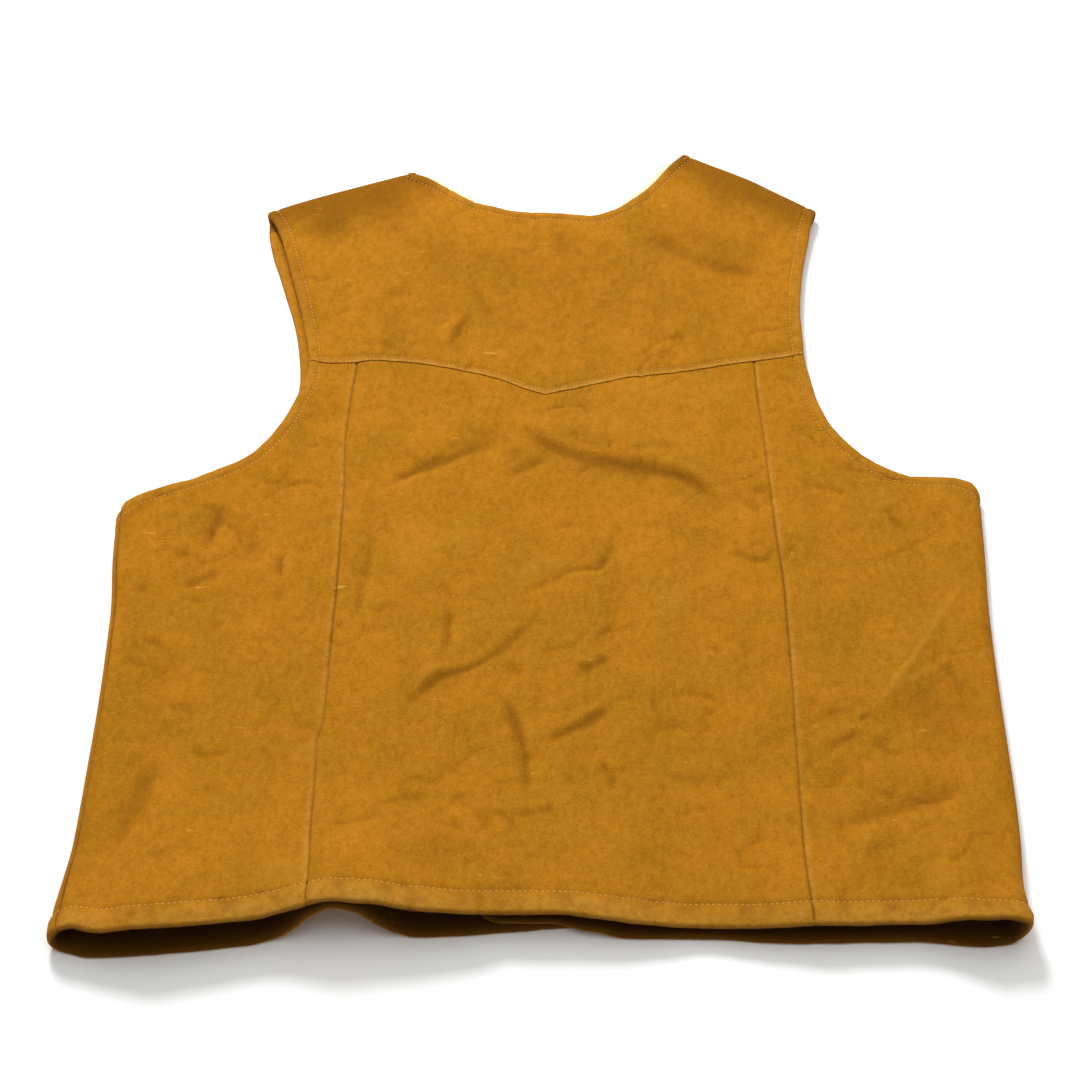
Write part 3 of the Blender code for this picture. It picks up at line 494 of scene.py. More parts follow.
@dataclass(frozen=True)
class Lie:
    """Heights at which the vest lies, and how its open hem closes up the back."""

    rest: float = 8.0                # height of the back's middle where it rests on the fronts
    settle: float = 120.0            # distance from the hem over which the open mouth closes
    side_blend: float = 45.0
    shoulder_blend: float = 35.0
    shoulder_margin: float = 30.0
    shoulder_ease: float = 25.0
    yoke_settle: float = 60.0
    shoulder_reach: float = 5.0
    shoulder_height: float = 6.0
    shoulder_top: float = 11.5
    overlap_ramp: tuple = (32.0, 50.0)
    overlap_hem_ramp: tuple = (16.0, 34.0)

    def openness(self, x: Points, y: Points) -> Points:
        """How far the mouth stands open, from 1 at the hem to 0."""
        return 1.0 - smoothstep((y - BACK_HEM.read(x)) / self.settle)

    def side_shares(self, x: Points, y: Points) -> tuple[Points, Points]:
        """How near a place is to the roll of the left and of the right side."""
        left_top = LEFT.roll.read(y, 1) + LEFT.roll.read(y, 4)
        right_top = RIGHT.roll.read(y, 1) - RIGHT.roll.read(y, 4)
        return (1.0 - smoothstep((x - left_top) / self.side_blend),
                1.0 - smoothstep((right_top - x) / self.side_blend))

    def back(self, x: Points, y: Points) -> Points:
        """Height of the middle of the back's leather, without its creases."""
        z = self.rest + (BACK_HEM.read(x, 2) - self.rest) * self.openness(x, y)
        left_share, right_share = self.side_shares(x, y)
        z = z + (LEFT.roll.read(y, 3) - z) * left_share
        return z + (RIGHT.roll.read(y, 3) - z) * right_share

    def yoke_edge(self, x: Points) -> Points:
        """Height up the back of the yoke's lower edge."""
        return np.where(np.asarray(x) < YOKE_POINT, YOKE_EDGE_LEFT.read(x), YOKE_EDGE_RIGHT.read(x))

    def shoulder_share(self, x: Points, y: Points) -> Points:
        """How near a place is to a shoulder fold."""
        share = np.zeros(np.shape(x))
        for line in (LEFT_SHOULDER, RIGHT_SHOULDER):
            low, high = line[0][0] - self.shoulder_margin, line[-1][0] + self.shoulder_margin
            inside = smoothstep((x - low) / self.shoulder_ease) * smoothstep((high - x) / self.shoulder_ease)
            gap = Track(line).read(x) - self.shoulder_reach - y
            share = np.maximum(share, (1.0 - smoothstep(gap / self.shoulder_blend)) * inside)
        return share

    def panel_top(self, x: Points) -> Points:
        """Height up the back of the panels' upper edge, which the yoke laps over."""
        return self.yoke_edge(x) + YOKE_LAP

    def yoke(self, x: Points, y: Points) -> Points:
        """Height of the middle of the yoke: above the panels, then at rest, then up to the shoulders."""
        lap = PLY * (1.0 - 0.5 * smoothstep((y - self.yoke_edge(x) - 2 * YOKE_LAP) / self.yoke_settle))
        z = self.back(x, y) + lap
        return z + (self.shoulder_top - z) * self.shoulder_share(x, y)

    def left_front(self, x: Points, y: Points) -> Points:
        """Height of the middle of the left front."""
        from_hem = y - LEFT_FRONT_HEM.read(x)
        return HALF + (LEFT_FRONT_HEM.read(x, 2) - HALF) * (1.0 - smoothstep(from_hem / self.settle))

    def right_front(self, x: Points, y: Points) -> Points:
        """Height of the middle of the right front, which laps over the left one."""
        start, end = self.overlap_ramp
        over = 1.0 - smoothstep((x - start) / (end - start))
        start, end = self.overlap_hem_ramp
        over_hem = 1.0 - smoothstep((y - LEFT_FRONT_HEM.read(x) - start) / (end - start))
        return HALF + over * (PLY + (2 * TURN_RADIUS + 0.1) * over_hem)

    def relief(self, x: Points, y: Points) -> tuple[Points, Points]:
        """Lie of folds and creases on the back.

        Args:
            x: Places across the vest.
            y: Places up the vest.

        Returns:
            The height that they add at each place, in millimetres, and the shade painted in their troughs,
            wrinkles and over the shoulders, with painted highlight below 0 and broad tones.
        """
        left_share, right_share = self.side_shares(x, y)
        calm = (1.0 - left_share) * (1.0 - right_share)
        main = sum(fold.relief(x, y) for fold in FOLDS) * (1.0 - self.openness(x, y)) * calm
        drawn = [(crease.relief(x, y) * (0.4 + 0.6 * calm), crease.width) for crease in CREASES]
        fine = sum(rise for rise, _ in drawn)
        spots = (Vector((a / 30.0, b / 30.0, 3.7)) for a, b in zip(x, y))
        uneven = np.array([noise.fractal(spot, 0.9, 2.0, 4) for spot in spots])
        small = self.crumple(x, y, 34.0, 2.0) + 0.5 * self.crumple(x, y, 17.0, 8.0)
        shoulder = self.shoulder_share(x, y)
        # Painted shade in the creases' troughs and in the wrinkles, and painted highlight on the creases'
        # lips
        painted_shade_and_tone = np.clip(-2.0 * sum(rise / width for rise, width in drawn), -0.5, 0.85) + 0.34 * small
        # Painted shade in the main folds' troughs, and painted shade over the shoulder folds
        painted_shade_and_tone = (painted_shade_and_tone + np.clip(-main / 12.0, -0.15, 0.25)) * (1.0 - shoulder) + 0.7 * shoulder
        painted_shade_and_tone += sum(tone.relief(x, y) for tone in TONES)
        rise = (main + 1.6 * fine + (1.2 * uneven - 1.2 * small) * calm) * (1.0 - shoulder)
        room = self.back(x, y) - np.maximum(self.left_front(x, y), self.right_front(x, y)) - PLY - 0.1
        return np.maximum(rise, -np.maximum(room, 0.0)), np.minimum(painted_shade_and_tone, 0.65)

    def crumple(self, x: Points, y: Points, size: float, seed: float) -> Points:
        """Short wrinkles all over, most of them aslant.

        Args:
            x: Places across the vest.
            y: Places up the vest.
            size: Distance between them, in millimetres.
            seed: Chooses which ones.

        Returns:
            How deep in a wrinkle each place is, from 0 to 1.
        """
        depth = np.zeros(len(x))
        for i, (a, b) in enumerate(zip(x, y)):
            spot = Vector(((0.86 * a + 0.5 * b) / (1.6 * size), (0.86 * b - 0.5 * a) / size, seed))
            spot += 0.5 * noise.noise_vector(spot * 1.7)
            line = max(0.0, 1.0 - 9.0 * abs(noise.noise(spot)))
            patch = 3.0 * noise.noise(spot * 1.3 + Vector((7.0, 3.0, 1.0)))
            depth[i] = line ** 2 * max(0.0, min(1.0, patch))
        return depth

    def front_relief(self, x: Points, y: Points) -> tuple[Points, Points]:
        """Height of the creases that stand up off the surface in the fronts, and the painted shade along
        them.
        """
        rise = sum(crease.relief(x, y) for crease in FRONT_CREASES)
        return rise, 0.3 * rise


LIE = Lie()


@dataclass
class Edge:
    """One edge of a piece, with the directions into the piece and out of its face at each point."""

    points: Points
    inward: Points
    out: Points

    @classmethod
    def of(cls, points: Points, inner: Points, face: Sequence[float], round_side: int = 0) -> "Edge":
        """Work out an edge's directions.

        Args:
            points: The edge's points.
            inner: For each, a point further into the piece.
            face: Roughly where the outside of the leather faces at the first point.
            round_side: How many of its last points go round a side, where the turned strip keeps to the net.

        Returns:
            The edge.
        """
        run = unit(np.gradient(points, axis=0))
        inward = unit(inner - points)
        square = np.concatenate([np.ones(len(points) - round_side), np.linspace(1.0, 0.0, round_side)])
        inward = unit(inward - square[:, None] * np.sum(inward * run, axis=1, keepdims=True) * run)
        out = np.cross(run, inward)
        if out[0] @ np.array(face, float) < 0:
            out = -out
        return cls(points, inward, unit(out))

    def inset(self, distance: float) -> Points:
        """The line that runs inside the edge at a distance."""
        return self.points + self.inward * distance

    def turned(self, depth: float, step: float = 3.0, slant: float = 0.0) -> Points:
        """Net of the strip that is turned to the inside round this edge.

        Args:
            depth: Width of the strip.
            step: Distance between its rows.
            slant: How fast it draws away from the leather above it.

        Returns:
            The net, whose first row is the edge itself.
        """
        down, back = self.out * TURN_RADIUS, self.inward * TURN_RADIUS
        fold = [self.points - down * (1 - math.cos(angle)) - back * math.sin(angle)
                for angle in np.radians(range(0, 181, 30))]
        way = self.inward - self.out * slant
        return np.stack(fold + [fold[-1] + way * run for run in np.arange(step, depth + 0.1, step)])


@dataclass
class Band:
    """What sewing and wear do along an edge, and the shade painted in its grooves and on its turned strip.
    """

    line: Points
    stitched: float = 0.0            # distance of the stitches from the edge
    puff: float = 0.0                # how far the leather stands up between the edge and the stitches
    groove: float = 0.0              # how far the stitches, or a seam, pull it in
    width: float = 1.3
    pucker: float = 0.0
    worn: float = 0.0                # how pale the edge has worn
    reach: float = 3.0
    # Painted shade along the groove
    dark: float = 0.0                # how dark the groove is
    skived: float = 0.0              # how far in the leather is pared thinner
    fade: float = 0.0                # over what length from its start a seam comes into sight
    painted_turned_shade: float = 0.0              # how much painted shade darkens the turned strip

    def measure(self, points: Points) -> tuple[Points, Points]:
        """Distance of each point from the edge, and how far along it is."""
        lengths = distances(self.line)
        places = np.arange(0.0, lengths[-1], 0.6)
        dense = at_distances(places, lengths, self.line)
        tree = kdtree.KDTree(len(dense))
        for i, p in enumerate(dense):
            tree.insert(p, i)
        tree.balance()
        found = [tree.find(p) for p in points]
        return np.array([f[2] for f in found]), places[np.array([f[1] for f in found])]


class Finish(Enum):
    """The finishes that pieces are given."""

    SUEDE = "suede"
    INSIDE = "inside"
    TAPE = "tape"
    THREAD = "thread"


def linear(colour: str) -> tuple[float, float, float, float]:
    """Turn an sRGB hex colour into linear values."""
    parts = [int(colour[i:i + 2], 16) / 255 for i in (1, 3, 5)]
    return (*(p / 12.92 if p <= 0.04045 else ((p + 0.055) / 1.055) ** 2.4 for p in parts), 1.0)


def add_object(name: str, data: bpy.types.ID) -> bpy.types.Object:
    """Make an object and put it in the scene."""
    made = bpy.data.objects.new(name, data)
    bpy.context.scene.collection.objects.link(made)
    return made


def as_mesh(bm: bmesh.types.BMesh, name: str) -> bpy.types.Mesh:
    """Turn a bmesh into a named mesh, and free it."""
    mesh = bpy.data.meshes.new(name)
    bm.to_mesh(mesh)
    bm.free()
    return mesh


def new_material(name: str) -> tuple[bpy.types.Material, bpy.types.NodeTree, bpy.types.Node]:
    """Make a material with nodes, and give its node tree and its shader too."""
    made = bpy.data.materials.new(name)
    made.use_nodes = True
    return made, made.node_tree, made.node_tree.nodes["Principled BSDF"]


def add_node(tree: bpy.types.NodeTree, kind: str, settings: dict,
             links: dict | None = None) -> bpy.types.Node:
    """Add a node to a material.

    Args:
        tree: The material's nodes.
        kind: The node's type.
        settings: Values of its properties, by name, and of its sockets, by name or number.
        links: Output sockets that feed its inputs, by name or number.

    Returns:
        The node.
    """
    node = tree.nodes.new(kind)
    for name, value in settings.items():
        if isinstance(name, str) and hasattr(node, name):
            setattr(node, name, value)
        else:
            node.inputs[name].default_value = value
    for name, source in (links or {}).items():
        tree.links.new(source, node.inputs[name])
    return node


@dataclass(frozen=True)
class SuedeFinish:
    """Split cowhide with a short soft nap, dyed golden tan: matt, mottled where hands have brushed it."""

    name: str = "golden_tan_suede"
    base: str = "#A1690D"
    orange: str = "#B07013"
    olive: str = "#92620C"
    shade: str = "#663D04"
    # Colour of the painted shade in the deepest grooves
    painted_deep_shade: str = "#3E2403"
    light: str = "#C2872A"
    worn: str = "#BC8B38"
    scratch: str = "#D29E48"
    patch: float = 46.0              # mm across the mottled patches
    cloud: float = 14.0
    brush: float = 26.0              # across the strokes of a hand
    mottle: float = 4.5
    rub: float = 5.0                 # across the spots of a worn edge
    nick: float = 3.0
    nap: float = 1.5                 # the real nap is finer, and this is as coarse as it needs to be to show
    roughness: float = 0.95
    shine: float = 0.1
    sheen: float = 0.08
    sheen_roughness: float = 0.6
    bump: float = 0.7                # strength of both bumps
    soft_height: float = 0.0012      # metres
    nap_height: float = 0.0004

    def material(self) -> bpy.types.Material:
        """Build the material."""
        made, tree, shader = new_material(self.name)
        place = add_node(tree, "ShaderNodeTexCoord", {}).outputs["Object"]

        def grain(size: float, detail: float, rough: float = 0.55, stretch: tuple = (1.0, 1.0, 1.0),
                  turn: float = 0.0) -> bpy.types.NodeSocket:
            """Noise with features of a size in millimetres."""
            turned = (0.0, 0.0, math.radians(turn))
            spot = add_node(tree, "ShaderNodeMapping", {"Rotation": turned, "Scale": stretch},
                            {"Vector": place})
            return add_node(tree, "ShaderNodeTexNoise",
                            {"Scale": 1 / (size * MM), "Detail": detail, "Roughness": rough},
                            {"Vector": spot.outputs[0]}).outputs["Fac"]

        def window(value: bpy.types.NodeSocket, low: float, high: float,
                   top: float = 1.0) -> bpy.types.NodeSocket:
            """Stretch a range of a value to the range from 0 to top."""
            return add_node(tree, "ShaderNodeMapRange",
                            {"From Min": low, "From Max": high, "To Min": 0.0, "To Max": top, "clamp": True},
                            {"Value": value}).outputs[0]

        def blend(share: bpy.types.NodeSocket, under: Any, over: str) -> bpy.types.NodeSocket:
            """Lay a colour over another by a share."""
            node = add_node(tree, "ShaderNodeMix", {"data_type": "RGBA", 7: linear(over)}, {0: share})
            if isinstance(under, str):
                node.inputs[6].default_value = linear(under)
            else:
                tree.links.new(under, node.inputs[6])
            return node.outputs[2]

        def times(a: bpy.types.NodeSocket, b: bpy.types.NodeSocket) -> bpy.types.NodeSocket:
            """Multiply two values."""
            return add_node(tree, "ShaderNodeMath", {"operation": "MULTIPLY"}, {0: a, 1: b}).outputs[0]

        painted_shade_and_tone, worn = (add_node(tree, "ShaderNodeAttribute", {"attribute_name": name}).outputs["Fac"]
                        for name in ("painted_shade_and_tone", "worn"))
        patch, cloud = grain(self.patch, 3.0, 0.5), grain(self.cloud, 4.0, 0.6)
        brushed = grain(self.brush, 3.0, 0.6, (1.0, 0.22, 1.0), 28.0)
        nap = grain(self.nap, 2.0, 0.7)
        mottle = grain(self.mottle, 3.0, 0.65, (1.0, 0.6, 1.0), 35.0)
        nicks = grain(self.nick, 2.0, 0.5, (0.12, 1.0, 1.0), 55.0)
        colour = self.base
        for share, over in (
            (window(patch, 0.35, 0.65, 0.8), self.orange),
            (window(cloud, 0.42, 0.25, 0.6), self.olive),
            (window(cloud, 0.55, 0.78, 0.5), self.orange),
            (window(brushed, 0.50, 0.72, 0.5), self.olive),
            (window(mottle, 0.50, 0.75, 0.26), self.shade),
            (window(mottle, 0.50, 0.25, 0.24), self.light),
            (window(nap, 0.5, 0.75, 0.28), self.shade),
            (window(nap, 0.5, 0.25, 0.28), self.light),
            (times(worn, window(grain(self.rub, 3.0, 0.7), 0.3, 0.6)), self.worn),
            # Painted shade from the attribute, darkest in the seams' grooves, and painted highlight where it
            # is below 0
            (window(painted_shade_and_tone, 0.0, 1.0, 0.85), self.shade),
            (window(painted_shade_and_tone, 0.75, 1.0, 0.9), self.painted_deep_shade),
            (window(painted_shade_and_tone, 0.0, -1.0, 0.5), self.light),
            (times(window(nicks, 0.70, 0.76), window(cloud, 0.5, 0.62, 0.6)), self.scratch),
        ):
            colour = blend(share, colour, over)
        tree.links.new(colour, shader.inputs["Base Color"])
        for name, value in (("Roughness", self.roughness), ("Specular IOR Level", self.shine),
                            ("Sheen Weight", self.sheen), ("Sheen Roughness", self.sheen_roughness),
                            ("Sheen Tint", linear(self.light))):
            shader.inputs[name].default_value = value
        soft = add_node(tree, "ShaderNodeBump", {"Strength": self.bump, "Distance": self.soft_height},
                        {"Height": grain(9.0, 4.0, 0.6)})
        fine = add_node(tree, "ShaderNodeBump", {"Strength": self.bump, "Distance": self.nap_height},
                        {"Height": nap, "Normal": soft.outputs[0]})
        tree.links.new(fine.outputs[0], shader.inputs["Normal"])
        return made


@dataclass(frozen=True)
class CottonFinish:
    """Cotton: twill tape, or spun sewing thread, matt and a little uneven."""

    name: str
    colour: str
    dark: str
    pitch: float                     # mm between two ribs or turns

    def material(self) -> bpy.types.Material:
        """Build the material."""
        made, tree, shader = new_material(self.name)
        place = add_node(tree, "ShaderNodeTexCoord", {}).outputs["Object"]
        # Bands of a wave texture of scale 1 stand about a third of a metre apart
        ribs = add_node(tree, "ShaderNodeTexWave",
                        {"bands_direction": "DIAGONAL", "Scale": 0.31 / (self.pitch * MM)},
                        {"Vector": place}).outputs["Fac"]
        mix = add_node(tree, "ShaderNodeMix",
                       {"data_type": "RGBA", 6: linear(self.dark), 7: linear(self.colour)}, {0: ribs})
        tree.links.new(mix.outputs[2], shader.inputs["Base Color"])
        shader.inputs["Roughness"].default_value = 0.9
        shader.inputs["Sheen Weight"].default_value = 0.2
        bump = add_node(tree, "ShaderNodeBump", {"Strength": 0.4, "Distance": 0.0002}, {"Height": ribs})
        tree.links.new(bump.outputs[0], shader.inputs["Normal"])
        return made


class Wardrobe:
    """The materials, each made once."""

    def __init__(self) -> None:
        """Make every finish."""
        # Suede's nap scatters light: next to no shine, a faint pale bloom at grazing angles
        suede = SuedeFinish()
        # The flesh side is coarser and browner, and its colours are painted darker still as the shade inside
        # the vest
        inside = SuedeFinish(name="suede_flesh_side_painted_shade", base="#482B08", orange="#502F09", olive="#402707",
                             shade="#2A1803", painted_deep_shade="#1C1002", light="#5E3C14", worn="#664A20",
                             scratch="#755124", nap=2.2, sheen=0.05)
        self.made = {
            Finish.SUEDE: suede.material(),
            Finish.INSIDE: inside.material(),
            Finish.TAPE: CottonFinish("cream_cotton_twill_tape", "#EFE4C6", "#DDCDA4", 0.9).material(),
            Finish.THREAD: CottonFinish("pale_tan_cotton_thread", "#DFA550", "#C58432", 0.5).material(),
        }

    def get(self, finish: Finish) -> bpy.types.Material:
        """The material of a finish."""
        return self.made[finish]


class Sheet:
    """A cut piece of cloth or leather, built from nets."""

    def __init__(self, name: str, node: str, wardrobe: Wardrobe, thickness: float = SUEDE) -> None:
        """Start an empty piece that stands for a CAD node."""
        self.name, self.node, self.wardrobe, self.thickness = name, node, wardrobe, thickness
        self.bm = bmesh.new()
        self.turned = self.bm.verts.layers.float.new("turned")
        self.still = self.bm.verts.layers.float.new("still")
        self.thick = self.bm.verts.layers.deform.new("thick")
        self.thinnest = 0.5
        self.bands: list[Band] = []

    def add(self, net: Points, turned: float = 0.0, still: Points | float = 0.0) -> None:
        """Add a net.

        Args:
            net: Its points, rows by columns.
            turned: 1 for a strip that is turned to the inside.
            still: 1 where creases don't reach, for the whole net or for each row.
        """
        rows, columns = net.shape[:2]
        held = np.broadcast_to(np.asarray(still, float).reshape(-1, 1), (rows, columns))
        made = bmesh.ops.create_grid(self.bm, x_segments=columns - 1, y_segments=rows - 1, size=1.0)
        for vert in made["verts"]:
            column = round((vert.co.x + 1) / 2 * (columns - 1))
            row = round((vert.co.y + 1) / 2 * (rows - 1))
            vert.co = net[row, column]
            vert[self.turned], vert[self.still] = turned, held[row, column]

    def places(self) -> Points:
        """Where every point is."""
        return np.array([v.co for v in self.bm.verts])

    def close(self, face: Vector) -> None:
        """Join the nets and make the outside of the leather face outwards.

        Args:
            face: Where the outside of most of the piece faces.
        """
        bmesh.ops.remove_doubles(self.bm, verts=self.bm.verts, dist=0.01)
        bmesh.ops.recalc_face_normals(self.bm, faces=self.bm.faces)
        self.bm.normal_update()
        sum_up = Vector((0.0, 0.0, 0.0))
        for item in self.bm.faces:
            if all(v[self.turned] < 0.5 and v[self.still] < 0.5 for v in item.verts):
                sum_up += item.normal * item.calc_area()
        if sum_up.dot(face) < 0:
            bmesh.ops.reverse_faces(self.bm, faces=self.bm.faces)
        self.bm.normal_update()

    def sew(self, lie: Callable[[Points, Points], tuple[Points, Points]] | None = None,
            floor: float | None = None) -> None:
        """Give the sheet its creases, its seams' and stitches' grooves, the marks of wear, and its painted
        shade and highlight.

        Args:
            lie: The folds and creases that cross it.
            floor: Lowest height of the leather's middle, if it rests on the surface.
        """
        worn_layer = self.bm.verts.layers.float.new("worn")
        painted_shade_and_tone_layer = self.bm.verts.layers.float.new("painted_shade_and_tone")
        self.bm.verts.ensure_lookup_table()
        points = self.places()
        normals = np.array([v.normal for v in self.bm.verts])
        turned = np.array([v[self.turned] for v in self.bm.verts])
        still = np.array([v[self.still] for v in self.bm.verts])
        push = np.zeros(len(points))
        worn = np.zeros(len(points))
        painted_shade_and_tone = np.zeros(len(points))
        for band in self.bands:
            away, place = band.measure(points)
            swell = np.zeros(len(points))
            if band.puff:
                t = np.clip(away / band.stitched, 0.0, 1.0)
                full = 0.6 + 0.4 * np.sin(np.pi * np.minimum(t / 0.7, 1.0))
                full = full * (1.0 - smoothstep((t - 0.35) / 0.65))
                quick = waves(place, 2.1, 2.0, 17.0) * (0.6 + 0.4 * np.sin(place / 13.0))
                slow = waves(place, 5.7, 3.0, 31.0)
                beside = np.exp(-((away - band.stitched * 0.6) / (band.stitched * 0.45)) ** 2)
                swell += band.puff * full + band.pucker * beside * (0.5 * quick + slow)
                # Painted shade and highlight across the puckers
                painted_shade_and_tone -= band.pucker * beside * (0.25 * quick + 0.6 * slow)
            dip = np.exp(-((away - band.stitched) / band.width) ** 2)
            dark = band.dark * (0.75 + 0.25 * np.sin(place / 37.0 + 1.0))
            fade = smoothstep(place / band.fade) if band.fade else 1.0
            push += (swell - band.groove * dip) * (1.0 - 0.8 * turned * smoothstep(away / 4.0)) * fade
            pale = band.worn * np.exp(-(away / band.reach) ** 2) * (0.8 + 0.2 * np.sin(place / 23.0))
            worn = np.maximum(worn, pale * fade)
            # Painted shade along the stitches' or the seam's groove
            line = dark * np.exp(-((away - band.stitched) / (0.8 * band.width)) ** 2)
            painted_shade_and_tone = np.maximum(painted_shade_and_tone, line * fade)
            # Painted shade on the strip that is turned inside
            painted_shade_and_tone = np.maximum(painted_shade_and_tone, band.painted_turned_shade * turned * smoothstep(away / 2.0) * (away < 20.0))
            if band.skived:
                thin = np.exp(-(away / band.skived) ** 2)
                push -= ((1.0 - self.thinnest) * HALF + 0.2) * thin
                for vert, share in zip(self.bm.verts, thin):
                    vert[self.thick][0] = 1.0 - share
        rise = np.zeros(len(points))
        if lie is not None:
            rise, dark = (part * (1.0 - still) for part in lie(points[:, 0], points[:, 1]))
            painted_shade_and_tone += dark
        moved = points + normals * push[:, None]
        moved[:, 2] += rise
        if floor is not None:
            moved[:, 2] = np.maximum(moved[:, 2], floor)
        for i, vert in enumerate(self.bm.verts):
            vert.co = in_frame(moved[i])
            vert[worn_layer], vert[painted_shade_and_tone_layer] = worn[i], painted_shade_and_tone[i]

    def finish(self, outside: Finish, inside: Finish, slot: str, bevel: float = 0.5) -> bpy.types.Object:
        """Make the piece's object.

        Args:
            outside: The finish of the outside.
            inside: The finish of the inside.
            slot: Not used.
            bevel: Width of the softened cut edges, in millimetres.

        Returns:
            The object.
        """
        mesh = as_mesh(self.bm, self.name)
        mesh.shade_smooth()
        made = add_object(self.name, mesh)
        mesh.materials.append(self.wardrobe.get(outside))
        mesh.materials.append(self.wardrobe.get(inside))
        wall = made.modifiers.new("thickness", "SOLIDIFY")
        wall.thickness = self.thickness * MM
        wall.offset = 0.0
        wall.material_offset = 1
        if any(band.skived for band in self.bands):
            wall.vertex_group = made.vertex_groups.new(name="full thickness").name
            wall.thickness_vertex_group = self.thinnest
        soft = made.modifiers.new("cut edges", "BEVEL")
        soft.width = bevel * MM
        soft.segments = 2
        soft.limit_method = "ANGLE"
        soft.angle_limit = math.radians(55)
        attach(made, "root")
        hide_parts(self.node)
        LOG.info("%s: %d points before its thickness", self.name, len(mesh.vertices))
        return made


@dataclass
class StitchRow:
    """A row of lockstitches that lie in the leather's surface."""

    line: Points                     # where it runs, in the middle of the leather
    out: Points                      # out of the leather's face at each point
    pitch: float = 3.4
    length: float = 2.5
    width: float = 0.85
    proud: float = 0.22

    def sew(self, bm: bmesh.types.BMesh, tree: BVHTree, stitch: bpy.types.Mesh) -> int:
        """Add the stitches to a mesh.

        Args:
            bm: The mesh that takes them.
            tree: The leather that they are sewn on.
            stitch: One stitch, of length 1 along x and width 1.

        Returns:
            How many there are.
        """
        lengths = distances(self.line)
        places = np.arange(self.pitch / 2, lengths[-1], self.pitch)
        middle = at_distances(places, lengths, self.line)
        out = unit(at_distances(places, lengths, self.out))
        ahead = unit(np.gradient(middle, axis=0))
        made = 0
        for point, face, forward in zip(middle, map(Vector, out), map(Vector, ahead)):
            place, normal, _, _ = tree.ray_cast(in_frame(point) + face * 5 * MM, -face, 9 * MM)
            if place is None:
                continue
            up = normal if normal.dot(face) > 0 else -normal
            forward = (forward - up * forward.dot(up)).normalized()
            across = up.cross(forward)
            turn = Matrix((forward, across, up)).transposed().to_4x4()
            size = Matrix.Diagonal((self.length * MM, self.width * MM, self.width * MM, 1.0))
            lift = Matrix.Translation(place + up * (self.proud - self.width / 2) * MM)
            copy = stitch.copy()
            copy.transform(lift @ turn @ size)
            bm.from_mesh(copy)
            bpy.data.meshes.remove(copy)
            made += 1
        return made


def sew_rows(name: str, leather: bpy.types.Object, rows: Sequence[StitchRow],
             wardrobe: Wardrobe) -> bpy.types.Object:
    """Sew rows of stitches on a piece.

    Args:
        name: The name of the stitching.
        leather: The piece.
        rows: The rows of stitches.
        wardrobe: The materials.

    Returns:
        The stitching, as one object.
    """
    depsgraph = bpy.context.evaluated_depsgraph_get()
    tree = BVHTree.FromObject(leather, depsgraph)
    single = bmesh.new()
    lengthwise = Matrix.Rotation(math.pi / 2, 4, "Y")
    bmesh.ops.create_uvsphere(single, u_segments=6, v_segments=5, radius=0.5, matrix=lengthwise)
    stitch = as_mesh(single, "one_stitch")
    bm = bmesh.new()
    count = sum(row.sew(bm, tree, stitch) for row in rows)
    bpy.data.meshes.remove(stitch)
    mesh = as_mesh(bm, name)
    mesh.shade_smooth()
    mesh.materials.append(wardrobe.get(Finish.THREAD))
    made = add_object(name, mesh)
    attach(made, "root")
    LOG.info("%s: %d stitches", name, count)
    return made


